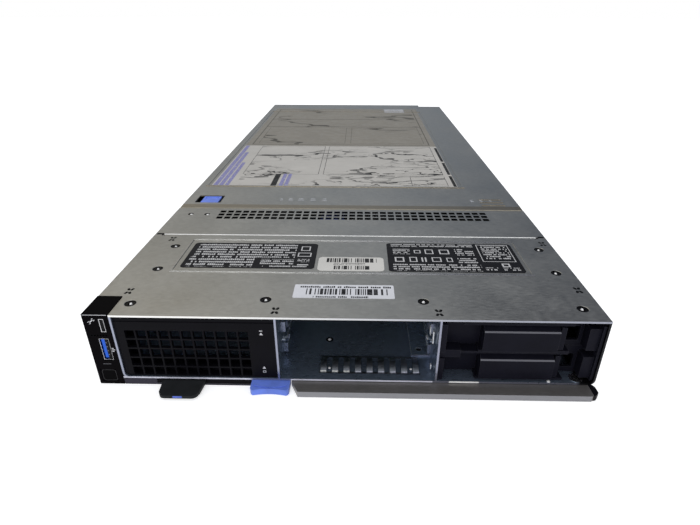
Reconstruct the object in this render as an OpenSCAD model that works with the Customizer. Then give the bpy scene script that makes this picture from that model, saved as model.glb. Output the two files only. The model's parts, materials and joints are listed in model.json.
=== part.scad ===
// Blade server: a single-width compute sled lying on its side, front facing -Y.
// Every module is drawn from the chassis front face (y = 0) and moved to the part's own
// origin, the middle of the footprint, by in_sled().

/* [Overall] */
// Width across the side walls
sled_w = 250.2; // [245:0.2:302]
// Height from the bottom to the highest emboss on the covers
sled_h = 42.15; // [41.8:0.05:52]
// Depth from the chassis front face to its rear edge
sled_d = 584; // [580:1:720]
// Thickness of the folded steel sheet
sheet_t = 1; // [0.8:0.05:1.2]
// How far the stamped ridges stand above the covers
emboss_h = 0.4; // [0.2:0.05:0.6]

/* [Covers] */
// Depth of the screwed front cover
front_cover_d = 94; // [90:0.5:100]
// Depth of the slotted bridge behind it
bridge_d = 48; // [46:0.5:60]
// How far the bridge's lip reaches under the rear cover
bridge_lip = 8; // [5:0.5:9]
// Width of the sloping strip along the rear cover's front edge
cover_slope_d = 8; // [6:0.5:10]
// Travel that frees the rear cover
cover_travel = 14; // [10:0.5:18]
// Depth of the step in the rear right corner
corner_step_d = 11; // [6:0.5:14]
// Width of the step in the rear right corner
corner_step_w = 31; // [24:0.5:34]

/* [Vent slots] */
// Slots in a row across the bridge
slot_columns = 35; // [20:1:38]
// Rows of slots
slot_rows = 3; // [1:1:4]
// Width of a slot
slot_w = 4.2; // [3:0.1:4.6]
// Length of a slot along the depth
slot_l = 3.1; // [2:0.1:4]
// Spacing of the slots across
slot_pitch_x = 5.45; // [5:0.05:5.6]
// Spacing of the rows
slot_pitch_y = 5.7; // [4.6:0.1:6]

/* [Drive cage] */
// Depth of the drive cage
cage_d = 100; // [94:0.5:112]
// Clear height under the cage, where the handle swings
lever_gap = 3.9; // [3.7:0.1:6]
// Depth of the handle pocket in the chassis floor
pocket_d = 22; // [20:0.5:30]
// Outer bend radius of the cage's bottom corners
cage_bend_r = 3; // [2:0.1:4]
// Width of the cage's turned-over top edges
cage_flange_w = 12; // [10:0.5:16]

/* [Left bay grille] */
// Columns of square holes
grille_columns = 11; // [4:1:12]
// Rows of square holes
grille_rows = 5; // [2:1:5]
// Spacing of the holes
grille_pitch = 5.55; // [5:0.05:5.8]
// Bar between two holes
grille_bar = 0.8; // [0.6:0.1:1.6]

/* [Control panel] */
// Width of the control panel
panel_w = 12.5; // [12.2:0.1:16]
// Depth of its visible block
panel_d = 17; // [14:0.5:24]
// Wall of the moulding
panel_wall = 1.2; // [1:0.1:1.4]
// Side of the square power button
power_button_w = 7.7; // [6:0.1:8]
// Travel of the power button
power_button_travel = 0.8; // [0.4:0.1:1]

/* [Handle, button and tag] */
// How far the handle stands out of the front
handle_out = 8; // [6:0.5:9]
// Depth of the handle bar behind the front face
handle_in = 5; // [4:0.5:7]
// Diameter of the handle's pivot pin
pivot_pin_d = 5; // [4:0.5:6]
// How far the release button stands out
button_out = 7.5; // [6:0.5:11]
// Travel of the release button
button_travel = 2; // [1:0.5:3]
// How far the information tag stands out
tag_out = 11.5; // [11:0.5:14]
// Length of the tag behind the front face
tag_in = 62; // [40:1:80]
// Thickness of the tag
tag_t = 1.7; // [1.4:0.1:2]

/* [System board] */
// Thickness of the system board
board_t = 2; // [1.6:0.1:2.4]
// Height of the board's standoffs
standoff_h = 3; // [2:0.5:4]
// Memory sockets on each side of a processor
dimms_per_side = 6; // [1:1:6]
// Spacing of the memory sockets
dimm_pitch = 9.4; // [8.6:0.1:9.6]
// Fins on each processor heatsink
heatsink_fins = 30; // [10:1:34]
// Length of a processor heatsink along the air flow
heatsink_l = 118; // [90:1:130]
// Width of a processor heatsink
heatsink_w = 78; // [60:1:79]

/* [Hidden] */
$fn = 48;

// Colours
galvanised = "#8e9090";
cage_steel = "#6f7780";
black_plastic = "#1c1c20";
touch_blue = "#5668d8";
board_green = "#1f5a3c";
bright_metal = "#c8cacc";
gold = "#c9a24a";

// Clearances
slip = 0.3;        // between pieces that slide or swing past each other
fit = 0.1;         // between a fixed piece and its pocket
bore_play = 0.03;  // radial play of a pin in its bore

// Levels
half_w = sled_w / 2;
front_y = (tag_out - sled_d) / 2;
cover_top = sled_h - emboss_h;
cover_z = cover_top - sheet_t;
cage_z = lever_gap;
bay_z = cage_z + sheet_t;
bay_top = cover_z - sheet_t;
bay_h = bay_top - bay_z;

// Bays across the front
cage_left = -half_w + panel_w + slip;
bay_w = (half_w - cage_left - 4 * sheet_t) / 3;
function bay_x(i) = cage_left + sheet_t + i * (bay_w + sheet_t);
function divider_x(i) = bay_x(i) - sheet_t;

// Covers along the depth
seam = 0.3;
bridge_y = front_cover_d + seam;
rear_cover_y = front_cover_d + bridge_d;
left_wall_y = panel_d + slip;
right_wall_y = cage_d + slip;
step_x = half_w - corner_step_w;
step_y = sled_d - corner_step_d;

// Screws that hold the front cover: distance behind the front face
side_screw_y = [11, 47.5, min(front_cover_d, cage_d) - 17];
middle_screw_y = 16;
flange_screw_in = 6.3;   // from a wall to its flange screws
right_screw_in = 9.6;
screw_r = 1.45;
screw_head_r = 2.8;
screw_sink = 0.35;       // from the cover's top down to the head
screw_l = 3.1;
nut_h = 1.2;
filler_top = cover_z - sheet_t - nut_h - slip;   // top of what slides in under the nuts

// Rear cover's studs and slots
stud_r = 1.5;
stud_y = [180, (180 + step_y - 34) / 2, step_y - 34];
skirt_h = 7;
skirt_x = half_w - sheet_t - slip;
stud_z = cover_z - skirt_h / 2;

// Cover latch
latch_x = [-half_w + 11.6, -half_w + 24.6];
latch_y = [rear_cover_y + 11.8, rear_cover_y + 25.3];
latch_hole_x = [-half_w + 7.3, -half_w + 26.8];
latch_hole_y = [rear_cover_y + 11.5, rear_cover_y + 27];
latch_pin_r = 1;
latch_pin_y = latch_y[0] + 2;
latch_pin_z = cover_z - 1.3;

// Handle
handle_z = [0.3, cage_z - slip];
pivot_x = half_w - 8.1;
pivot_y = 4;
pivot_boss_r = 6;
handle_left = [-26.8, -23];   // x of its slanted end, at the back and at the front
cap_x = half_w - 3.1;
handle_wall = 1.2;

// Release button
button_x = [-46.9, -27.4];
button_stem_x = [-43, -31];
button_stem_y = 16;
spring_r = 1;
spring_wire = 0.4;
spring_turns = 5;

// Rivets and standoffs
rivet_r = 1.55;
standoff_shank_r = 1.9;

// Information tag and its housing
tag_x = [-92.4, -70.6];
tag_taper = 1.2;
tag_corner_r = 3;
tag_stop = 1.6;
tag_z = sheet_t + 0.3;
housing_x = [-95.5, -47.5];
housing_wall = 1.2;
tag_travel = tag_in - 8;

// Control panel
panel_x = [-half_w, -half_w + panel_w];
control_board_x = panel_x[1] - panel_wall - 1.2;
usb_w = 5.2;
usb_h = 13.1;
usb_z = 14.9;
micro_usb_w = 2.6;
micro_usb_h = 7.6;
micro_usb_z = 31.8;
power_button_x = control_board_x - 0.7 - power_button_w;
power_button_z = 1.6;

// Spring fingers on the middle bay's floor
finger_n = 9;
finger_pitch = 5.94;
finger_w = 3.1;
finger_first_x = divider_x(1) + 22.5;
strip_y = [4.6, 18.6];
strip_t = 0.3;

// Drive blanks
blank_h = (filler_top - bay_z - 2 * slip) / 2;
blank_x = [bay_x(2) + slip, bay_x(2) + bay_w - slip];
blank_tongue = [10.4, 3];

// System board
board_z = sheet_t + standoff_h;
board_top = board_z + board_t;
board_y = [cage_d + 12, sled_d - 24];
board_x = half_w - 3.6;
cpu_first_y = max(rear_cover_y + 80, board_y[0] + 110);   // clear of the bridge's lip and the controller
cpu_y = [cpu_first_y, cpu_first_y + 149];                // centre of each processor
socket_h = 4;
processor_h = 3;
heatsink_base = 4;
heatsink_z = board_top + socket_h + processor_h;
heatsink_top = cover_z - 0.9;
dimm_socket_l = 142;
dimm_socket_w = 6.5;
dimm_socket_h = 8;
dimm_l = 133.35;
dimm_t = 1.27;
dimm_h = 31.25;
dimm_seat_z = board_top + 2.6;
dimm_first_x = heatsink_w / 2 + 8;

// Drive backplane
backplane_t = 1.6;

// Rear connectors: middle, width
rear_y = step_y - 1 - sheet_t;
fabric_a = [-90, 46];
power_block = [-36, 34];
signal_block = [2, 26];
fabric_b = [46, 46];
fabric_c = [107, 24];
guide_x = [-60, 80];
guide_bore_r = 3.5;
connector_z = [13, 35];
mezzanine_z = 20;
mezzanine_t = 1.6;
mezzanine_y = [cpu_y[1] + 84, rear_y - 24];

// ---------------------------------------------------------------- helpers

module in_sled(tint) color(tint) translate([0, front_y, 0]) children();

// A box between two corners, given as its range along each axis
module span(x, y, z)
  translate([x[0], y[0], z[0]]) cube([x[1] - x[0], y[1] - y[0], z[1] - z[0]]);

// A flat outline raised between two heights
module raise(z) translate([0, 0, z[0]]) linear_extrude(z[1] - z[0]) children();

// A rectangle with its two lower corners rounded
module round_bottom(w, h, r) {
  translate([0, r]) square([w, h - r]);
  translate([r, 0]) square([w - 2 * r, r + 1]);
  translate([r, r]) circle(r);
  translate([w - r, r]) circle(r);
}

// A rectangle between two corners with all corners rounded
module rounded(x, y, r) {
  translate([x[0] + r, y[0]]) square([x[1] - x[0] - 2 * r, y[1] - y[0]]);
  translate([x[0], y[0] + r]) square([x[1] - x[0], y[1] - y[0] - 2 * r]);
  for (cx = [x[0] + r, x[1] - r])
    for (cy = [y[0] + r, y[1] - r]) translate([cx, cy]) circle(r);
}

// A round bar along X, Y or Z from a start point
module bar_x(r, l) rotate([0, 90, 0]) cylinder(r = r, h = l);
module bar_y(r, l) rotate([-90, 0, 0]) cylinder(r = r, h = l);

// Puts a child at each given x and y
module at_each(points) for (p = points) translate([p[0], p[1], 0]) children();

// Open coil spring along +Z
module coil_spring(r, wire, l, turns) {
  sides = 8;
  steps = 14 * turns;
  function spot(i, j) =
    let (turn = 360 * turns * i / steps, side = 360 * j / sides, out = r + wire / 2 * cos(side))
    [out * cos(turn), out * sin(turn), wire / 2 + (l - wire) * i / steps + wire / 2 * sin(side)];
  points = [for (i = [0:steps]) for (j = [0:sides - 1]) spot(i, j)];
  skin = [for (i = [0:steps - 1]) for (j = [0:sides - 1])
    [i * sides + j, i * sides + (j + 1) % sides, (i + 1) * sides + (j + 1) % sides, (i + 1) * sides + j]];
  start = [for (j = [0:sides - 1]) sides - 1 - j];
  end = [for (j = [0:sides - 1]) steps * sides + j];
  polyhedron(concat(points), concat([start], skin, [end]));
}

// ---------------------------------------------------------------- covers

cover_screw_points = concat(
  [for (y = side_screw_y) [cage_left + flange_screw_in, y]],
  [for (y = side_screw_y) [half_w - right_screw_in, y]],
  [for (i = [1, 2]) [divider_x(i) - flange_screw_in, middle_screw_y]]
);

module countersink() translate([0, 0, cover_z]) {
  cylinder(r1 = screw_r + fit, r2 = screw_head_r + 2 * fit, h = sheet_t);
  translate([0, 0, sheet_t - 0.01]) cylinder(r = screw_head_r + 2 * fit, h = 1);
  translate([0, 0, -1]) cylinder(r = screw_r + fit, h = 1.5);
}

// Stamped ridge that runs round a field on a cover
module ridge_frame(x, y, w) difference() {
  span(x, y, [cover_top - 0.1, sled_h]);
  span([x[0] + w, x[1] - w], [y[0] + w, y[1] - w], [cover_top - 1, sled_h + 1]);
}

// Four small half-shears in a cross, pushed down where the cage's tabs meet the cover
shear_points = concat(
  [for (y = [22.6, front_cover_d - 6.7]) [cage_left + 0.9, y]],
  [for (y = [29, front_cover_d - 8.7]) [half_w - 4.9, y]],
  [for (i = [1, 2]) [divider_x(i), 6]]
);
module half_shears() at_each(shear_points) for (sx = [-1, 1]) for (sy = [-1, 1])
  translate([sx * 0.95, sy * 1.9, cover_top - 0.7]) rotate(-sx * sy * 25)
    translate([-0.55, -0.85, 0]) cube([1.1, 1.7, 2]);

module front_cover() in_sled(galvanised) difference() {
  union() {
    span([-half_w, half_w], [0, front_cover_d], [cover_z, cover_top]);
    ridge_frame([cage_left + 13.8, half_w - 22.1], [front_cover_d - 49.5, front_cover_d - 6], 1.2);
  }
  span([-half_w - 1, panel_x[1] + slip], [-1, panel_d + slip], [cover_z - 1, sled_h + 1]);
  at_each(cover_screw_points) countersink();
  half_shears();
  // notches at the ends of the rear edge
  for (s = [-1, 1])
    span([s * (half_w - 6) - 1.3, s * (half_w - 6) + 1.3], [front_cover_d - 1.4, front_cover_d + 1],
         [cover_z - 1, sled_h + 1]);
}

module vent_bridge() in_sled(galvanised) difference() {
  lip_y = rear_cover_y + bridge_lip;
  union() {
    span([-half_w, half_w], [bridge_y + sheet_t / 2, rear_cover_y - seam], [cover_z, cover_top]);
    // lip under the rear cover, one sheet lower
    span([-skirt_x, skirt_x], [rear_cover_y - seam - sheet_t, lip_y], [bay_top, cover_z]);
    // rolled front edge
    translate([-half_w, bridge_y + sheet_t / 2, cover_z + sheet_t / 2]) bar_x(sheet_t / 2, sled_w);
    // side skirts inside the chassis walls
    for (s = [-1, 1])
      span([s * skirt_x - (s > 0 ? sheet_t : 0), s * skirt_x + (s > 0 ? 0 : sheet_t)],
           [max(cage_d + backplane_t + 2, bridge_y + sheet_t), rear_cover_y - seam], [cover_z - 12, cover_z + 0.5]);
  }
  first_x = -(slot_columns - 1) / 2 * slot_pitch_x + 1.5;
  for (i = [0:slot_columns - 1])
    for (j = [0:slot_rows - 1])
      translate([first_x + i * slot_pitch_x - slot_w / 2,
                 rear_cover_y - 6.8 - slot_l / 2 - j * slot_pitch_y, cover_z - 2])
        cube([slot_w, slot_l, 5]);
  // two half-shear dimples at the left
  for (x = [12, 23.6]) translate([-half_w + x, rear_cover_y - 12.2, cover_top - 0.5]) cylinder(r = 2, h = 2);
}

// Slot that a stud slides along, open downwards at its front end
module stud_slot() {
  w = stud_r + slip;
  translate([0, -cover_travel - w, -w]) cube([4, cover_travel + w, 2 * w]);
  bar_x(w, 4);
  translate([0, -cover_travel - w, -skirt_h]) cube([4, 2 * w, skirt_h]);
}

module rear_cover_outline() difference() {
  translate([-half_w, rear_cover_y + cover_slope_d]) square([sled_w, sled_d - rear_cover_y - cover_slope_d]);
  translate([step_x, step_y]) square([corner_step_w + 1, corner_step_d + 1]);
}

module rear_cover() in_sled(galvanised) difference() {
  union() {
    raise([cover_z, cover_top]) rear_cover_outline();
    // sloping strip along the front edge
    translate([-half_w, 0, 0]) rotate([90, 0, 90]) linear_extrude(sled_w)
      polygon([[rear_cover_y, cover_z], [rear_cover_y + cover_slope_d, cover_z],
               [rear_cover_y + cover_slope_d, cover_top], [rear_cover_y + 1.2, cover_top - 0.25],
               [rear_cover_y, cover_top - 0.6]]);
    // skirts inside the side walls
    span([-skirt_x, -skirt_x + sheet_t], [latch_y[0] - 2, sled_d - 20], [cover_z - skirt_h, cover_z + 0.5]);
    span([skirt_x - sheet_t, skirt_x], [latch_y[0] - 2, step_y - 4], [cover_z - skirt_h, cover_z + 0.5]);
    // lip turned down along the rear edge
    span([-half_w + sheet_t + slip, step_x], [sled_d - sheet_t, sled_d], [cover_z - 3, cover_z + 0.5]);
    // three grip ridges
    for (i = [0:2])
      span([half_w - 27.6, half_w - 10.4], [rear_cover_y + 10 + 6 * i, rear_cover_y + 11.2 + 6 * i],
           [cover_top - 0.1, sled_h]);
    // stamped frame round the service label field
    ridge_frame([-half_w + 5, step_x - 2], [rear_cover_y + 50, sled_d - 56], 1.5);
    // ears that carry the latch pin
    for (x = [latch_hole_x[0] - 1.5, latch_hole_x[1] + 0.3])
      span([x, x + 1.2], [latch_pin_y - 3, latch_pin_y + 3], [latch_pin_z - 2.5, cover_z + 0.5]);
  }
  span(latch_hole_x, latch_hole_y, [cover_z - 0.01, sled_h + 1]);
  translate([latch_hole_x[0] - 3, latch_pin_y, latch_pin_z]) bar_x(latch_pin_r + 0.01, 30);
  for (y = stud_y)
    for (s = [-1, 1]) translate([s * skirt_x - 2, y, stud_z]) stud_slot();
}

module cover_latch() in_sled(touch_blue) difference() {
  union() {
    span(latch_x, latch_y, [cover_z - 0.4, cover_top - 0.1]);
    span(latch_x, [latch_y[0], latch_pin_y + 2.6], [latch_pin_z - 2, cover_z]);
  }
  translate([latch_x[0] - 1, latch_pin_y, latch_pin_z]) bar_x(latch_pin_r + bore_play, 20);
  // finger ramp
  translate([latch_x[0] + 1.5, latch_y[1] - 6, cover_top - 0.7]) rotate([4, 0, 0]) cube([10, 4.6, 2]);
}

module latch_pin() in_sled(bright_metal)
  translate([latch_hole_x[0] - 1.5, latch_pin_y, latch_pin_z])
    bar_x(latch_pin_r, latch_hole_x[1] - latch_hole_x[0] + 3);

stud_l = 2 * sheet_t + slip + 0.4;   // from the outside of the wall through the skirt
module cover_studs() in_sled(bright_metal) for (y = stud_y) {
  translate([-half_w, y, stud_z]) bar_x(stud_r, stud_l);
  translate([half_w - stud_l, y, stud_z]) bar_x(stud_r, stud_l);
}

module cover_screws() in_sled(bright_metal) at_each(cover_screw_points) difference() {
  union() {
    translate([0, 0, cover_top - screw_l]) cylinder(r = screw_r, h = screw_l - 0.5);
    translate([0, 0, cover_z]) cylinder(r1 = screw_r, r2 = screw_head_r - screw_sink, h = sheet_t - screw_sink);
  }
  translate([0, 0, cover_top - 1.7]) cylinder(r = 1.3, h = 2, $fn = 6);
}

// ---------------------------------------------------------------- chassis

module chassis_base() in_sled(galvanised) difference() {
  union() {
    span([-half_w, half_w], [0, sled_d], [0, sheet_t]);
    span([-half_w, -half_w + sheet_t], [left_wall_y, sled_d], [0, cover_z]);
    span([half_w - sheet_t, half_w], [right_wall_y, step_y], [0, cover_z]);
    // folded front edge under the left bay
    span([cage_left, housing_x[0] - fit], [0, sheet_t], [0, cage_z]);
    // wall that closes the stepped corner
    span([step_x, step_x + sheet_t], [step_y - sheet_t, sled_d], [0, 12]);
  }
  // room for the control panel
  span([-half_w - 1, cage_left], [-1, left_wall_y], [-1, sled_h]);
  // pocket for the button and handle
  span([button_x[0] - slip, half_w + 1], [-1, pocket_d], [-1, cage_z]);
  // stepped rear corner
  span([step_x + sheet_t, half_w + 1], [step_y, sled_d + 1], [-1, sled_h]);
  // holes for the cover studs, the standoffs and the cage's rivets
  for (y = stud_y) translate([-half_w - 1, y, stud_z]) bar_x(stud_r + 0.01, sled_w + 2);
  at_each(standoff_points) translate([0, 0, -1]) cylinder(r = standoff_shank_r + 0.01, h = 3);
  at_each(foot_rivets) translate([0, 0, -1]) cylinder(r = rivet_r + 0.01, h = 3);
}

module cage_nuts(points) at_each(points) translate([0, 0, bay_top - nut_h]) cylinder(r = 3, h = nut_h + 0.5);

module cage_flange_holes(points)
  at_each(points) translate([0, 0, bay_top - 3]) cylinder(r = screw_r + 0.05, h = 6);

left_nuts = [for (y = side_screw_y) [cage_left + flange_screw_in, y]];
right_nuts = [for (y = side_screw_y) [half_w - right_screw_in, y]];
foot_rivets = [for (x = [-90, -30, 30, 90]) [x, cage_d + 6]];

// Bevel that clears the cage's rounded inner corner
module corner_relief(x, z, w = 2.2) translate([x, -5, z]) rotate([0, 45, 0])
  translate([-w / 2, 0, -w / 2]) cube([w, 90, w]);

// Lanced tabs that guide the carriers, standing off a wall
guide_z = bay_z + 13.4;
module guide_tabs(x, s) for (y = [15, 48, 80]) {
  translate([x, y, guide_z]) linear_extrude(0.9) polygon([[0, 0], [s * 2.2, 2], [s * 2.2, 9], [0, 11]]);
  // three stiffening bumps under each tab
  for (i = [0:2]) translate([x - (s > 0 ? 0.2 : 1.1), y + 1.2 + 4.3 * i, guide_z - 1]) bar_x(0.8, 1.3, $fn = 16);
}

// Bracket lanced out of a wall near the floor, with a stiffening rib above it
module wall_bracket(x, s) {
  translate([x, 0, 0]) scale([s, 1, 1]) {
    span([0, 1.8], [19, 20], [bay_z + 2.4, bay_z + 8]);
    span([0, 1.8], [27, 28], [bay_z + 1.6, bay_z + 8]);
    span([1, 1.8], [19, 28], [bay_z + 2.4, bay_z + 6.4]);
    span([0, 0.8], [30, 31.4], [bay_z + 3, bay_z + 14.6]);
    span([0, 1.2], [18, 19.2], [bay_z + 16, bay_z + 22]);
    span([0, 0.6], [36, 44], [bay_z + 5, bay_z + 7]);
  }
}

module drive_cage() in_sled(cage_steel) difference() {
  w = half_w - cage_left;
  h = cover_z - cage_z;
  union() {
    // folded shell: floor and two outer walls
    translate([cage_left, 0, cage_z]) rotate([90, 0, 0]) translate([0, 0, -cage_d]) linear_extrude(cage_d)
      difference() {
        round_bottom(w, h, cage_bend_r);
        translate([sheet_t, sheet_t]) round_bottom(w - 2 * sheet_t, h, cage_bend_r - sheet_t);
      }
    // outer walls carried down to the chassis floor behind the handle pocket
    span([cage_left, cage_left + sheet_t], [pocket_d + slip, cage_d], [sheet_t, cage_z + cage_bend_r]);
    span([half_w - sheet_t, half_w], [pocket_d + slip, cage_d], [sheet_t, cage_z + cage_bend_r]);
    // turned-over top edges with their nuts
    span([cage_left, cage_left + cage_flange_w], [2, cage_d - 6], [bay_top, cover_z]);
    span([half_w - cage_flange_w - 3, half_w], [2, cage_d - 6], [bay_top, cover_z]);
    cage_nuts(concat(left_nuts, right_nuts));
    // rear flanges that carry the backplane
    span([cage_left, cage_left + 8], [cage_d - sheet_t, cage_d], [bay_z - 0.5, bay_top]);
    span([half_w - 8, half_w], [cage_d - sheet_t, cage_d], [bay_z - 0.5, bay_top]);
    // rear foot on the chassis floor
    span([-100, 100], [cage_d - sheet_t, cage_d], [sheet_t, cage_z + 0.5]);
    span([-100, 100], [cage_d - sheet_t, cage_d + 11], [sheet_t, 2 * sheet_t]);
    // tabs folded down behind the button spring and the handle spring
    span([button_stem_x[0], button_stem_x[1]], [pocket_d, pocket_d + sheet_t], [sheet_t, cage_z + 0.5]);
    span([8, 20], [pocket_d, pocket_d + sheet_t], [sheet_t, cage_z + 0.5]);
    guide_tabs(half_w - sheet_t, -1);
  }
  cage_flange_holes(concat(left_nuts, right_nuts));
  at_each(foot_rivets) cylinder(r = rivet_r + 0.05, h = 8);
  // pivot hole
  translate([pivot_x, pivot_y, cage_z - 1]) cylinder(r = pivot_pin_d / 2 + 0.01, h = 4);
  // floor dimple and locating hole
  translate([-9.4, 33.5, bay_z - 0.5]) cylinder(r1 = 0.8, r2 = 2.2, h = 0.6);
}

// A divider stands on the cage floor between bay i - 1 and bay i
module cage_divider(i) in_sled(cage_steel) difference() {
  x = divider_x(i);
  nut = [[x - flange_screw_in, middle_screw_y]];
  union() {
    span([x, x + sheet_t], [0, cage_d - sheet_t - fit], [bay_z, cover_z]);
    // foot
    span([x - 10, x + 0.5], [19.6, cage_d - 8], [bay_z, bay_z + sheet_t]);
    // top flange
    span([x - cage_flange_w, x + 0.5], [2, cage_d - 6], [bay_top, cover_z]);
    cage_nuts(nut);
    // rear flange
    span([x - 8, x + 0.5], [cage_d - sheet_t - fit, cage_d], [bay_z + 2, bay_top - 1]);
    guide_tabs(x + sheet_t, 1);
    if (i == 2) guide_tabs(x, -1);
    wall_bracket(i == 1 ? x + sheet_t : x, i == 1 ? 1 : -1);
  }
  cage_flange_holes(nut);
  for (y = [24.6, 88]) translate([x - 5.6, y, bay_z - 1]) cylinder(r = rivet_r + 0.05, h = 4);
}

module cage_divider_left() cage_divider(1);
module cage_divider_right() cage_divider(2);

module cage_rivets() in_sled(bright_metal) {
  // rivets through the cage's rear foot
  at_each(foot_rivets) {
    translate([0, 0, 0.05]) cylinder(r = rivet_r, h = 2 * sheet_t);
    translate([0, 0, 2 * sheet_t]) cylinder(r = 2.6, h = 0.8);
  }
  // rear rivet of each divider's foot
  for (i = [1, 2]) translate([divider_x(i) - 5.6, 88, bay_z]) {
    cylinder(r = rivet_r, h = sheet_t + 0.1);
    translate([0, 0, sheet_t]) cylinder(r = 2.6, h = 0.8);
  }
}

// Nine spring fingers arched over a flat strip
module emi_finger_strip() in_sled(bright_metal) {
  chord = strip_y[1] - strip_y[0] - 2;
  rise = 2.2;
  r = (chord * chord / 4 + rise * rise) / (2 * rise);
  mid_y = (strip_y[0] + strip_y[1]) / 2;
  x1 = finger_first_x + (finger_n - 1) * finger_pitch + 2.2;
  for (y = [[strip_y[0], strip_y[0] + 1.2], [strip_y[1] - 1.2, strip_y[1]]])
    span([finger_first_x - 2.2, x1], y, [bay_z, bay_z + strip_t]);
  for (i = [0:finger_n - 1])
    translate([finger_first_x + i * finger_pitch - finger_w / 2, mid_y, bay_z])
      rotate([90, 0, 90]) linear_extrude(finger_w) intersection() {
        translate([0, rise + strip_t - r]) difference() {
          circle(r);
          circle(r - strip_t);
        }
        translate([-chord / 2 - 0.4, 0]) square([chord + 0.8, rise + 1]);
      }
}

// ---------------------------------------------------------------- bay fillers

module bay_vent_blank() in_sled(black_plastic) {
  x = [bay_x(0) + fit, bay_x(0) + bay_w - fit];
  z = [bay_z + fit, bay_top - fit];
  wall = 1.6;
  grid_x = x[0] + 4.4;
  grid_z = bay_z + 0.9;
  hole = grille_pitch - grille_bar;
  difference() {
    union() {
      span(x, [0.8, 2.8], z);
      // rim that runs back along the bay walls
      difference() {
        span([x[0] + 0.6, x[1] - 0.6], [2.7, 15], [z[0] + 0.6, filler_top]);
        span([x[0] + 0.6 + wall, x[1] - 0.6 - wall], [1, 16], [z[0] + 0.6 + wall, filler_top - wall]);
      }
    }
    for (i = [0:grille_columns - 1])
      for (j = [0:grille_rows - 1])
        translate([grid_x + i * grille_pitch, -1, grid_z + j * grille_pitch]) cube([hole, 6, hole]);
    corner_relief(x[0], z[0]);
    // shallow step across the top of the face
    span([x[0] - 1, x[1] + 1], [0, 1.2], [z[1] - 2, z[1] + 1]);
  }
}

// A drive blank: recessed face, raised middle, end posts and a frame that runs back
module drive_blank(z0, upper) {
  x = blank_x;
  z = [z0, z0 + blank_h];
  mid = [x[0] + 20.4, x[0] + 56.6];
  face_y = 9;
  tongue_x = x[0] + blank_tongue[0];
  rail_top = z[1] - blank_tongue[1] - 2 * slip;
  difference() {
    union() {
      // recessed face
      span(x, [face_y, face_y + 1.8], z);
      // end posts
      span([x[0], x[0] + 2.6], [1, face_y + 1], z);
      span([x[1] - 6.4, x[1]], [2.5, face_y + 1], [z[0] + 1.4, z[1] - 2.4]);
      span([x[1] - 1.2, x[1]], [1, face_y + 1], z);
      // raised middle with a bevelled top edge
      translate([mid[0], 0, 0]) rotate([90, 0, 90]) linear_extrude(mid[1] - mid[0])
        polygon([[0.8, z[0] + 1.1], [face_y + 1, z[0] + 1.1], [face_y + 1, z[1] - 1.4],
                 [4.6, z[1] - 1.8], [1.5, z[1] - 3.6], [0.8, z[1] - 4.2]]);
      // top ledge
      span([tongue_x + slip, x[1] - 14], [3, face_y + 1], [z[1] - 1.2, z[1]]);
      // bottom ledge under the middle
      span([mid[0] - 1.5, mid[1] + 6], [2, face_y + 1], [z[0], z[0] + 1.2]);
      // latch rail beside the middle
      span([mid[1] + 0.8, mid[1] + 3.2], [2.5, face_y + 1], [z[0] + 1.4, z[1] - 2]);
      // side rails and rear bar
      for (s = [x[0] + 3, x[1] - 5])
        span([s, s + 2], [face_y + 1, 70], [z[0] + 1, rail_top]);
      span([x[0] + 3, x[1] - 3], [68, 70], [z[0] + 1, rail_top]);
      if (upper) span([x[0], tongue_x], [2, face_y + 1.8], [z[0] - blank_tongue[1] - slip, z[0] + 1]);
    }
    // notch that the upper blank's tongue drops into
    if (!upper) span([x[0] - 1, tongue_x + slip], [-1, face_y + 3], [z[1] - blank_tongue[1] - slip, z[1] + 1]);
    corner_relief(x[1], z[0], upper ? 0.01 : 2.2);
    // window in the face that shows the bay behind
    span([x[1] - 18, x[1] - 8], [face_y - 1, face_y + 4], [z[0] + 3, z[1] - 5]);
  }
}

module drive_blank_lower() in_sled(black_plastic) drive_blank(bay_z + slip, false);
module drive_blank_upper() in_sled(black_plastic) drive_blank(bay_z + 2 * slip + blank_h, true);

// ---------------------------------------------------------------- control panel

module control_panel() in_sled(black_plastic) difference() {
  span(panel_x, [0, panel_d], [0, sled_h]);
  span([panel_x[0] + panel_wall, panel_x[1] - panel_wall], [1.8, panel_d + 1],
       [panel_wall, sled_h - panel_wall]);
  // ports
  span([control_board_x - usb_w - fit, control_board_x], [-1, 3], [usb_z - fit, usb_z + usb_h + fit]);
  span([control_board_x - micro_usb_w - fit, control_board_x], [-1, 3],
       [micro_usb_z - fit, micro_usb_z + micro_usb_h + fit]);
  // power button
  span([power_button_x - 0.2, power_button_x + power_button_w + 0.2], [-1, 3],
       [power_button_z - 0.2, power_button_z + power_button_w + 0.2]);
  // row of small vents
  for (i = [0:5]) translate([panel_x[0] + 2.6 + i * 1.4, -1, 30]) bar_y(0.45, 4);
}

module power_button() in_sled(black_plastic) {
  x = [power_button_x, power_button_x + power_button_w];
  z = [power_button_z, power_button_z + power_button_w];
  translate([0, 2, 0]) rotate([90, 0, 0]) linear_extrude(1.8) rounded(x, z, 1.2);
  span([x[0], x[1] + 0.4], [1.9, 2], z);
  // shoulder behind the panel and plunger towards the switch
  translate([(x[0] + x[1]) / 2 + 1.5, 1.9, (z[0] + z[1]) / 2]) bar_y(1.6, 5.1);
}

module power_switch() in_sled(galvanised) {
  y = 7 + power_button_travel + 0.1;
  span([control_board_x - 4.6, control_board_x], [y, y + 4], [power_button_z + 0.8, power_button_z + 7]);
}

module usb_port() in_sled(bright_metal) difference() {
  x = [control_board_x - usb_w, control_board_x];
  span(x, [0.5, 14], [usb_z, usb_z + usb_h]);
  span([x[0] + 0.4, x[1] - 0.4], [-1, 12], [usb_z + 0.4, usb_z + usb_h - 0.4]);
}

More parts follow.
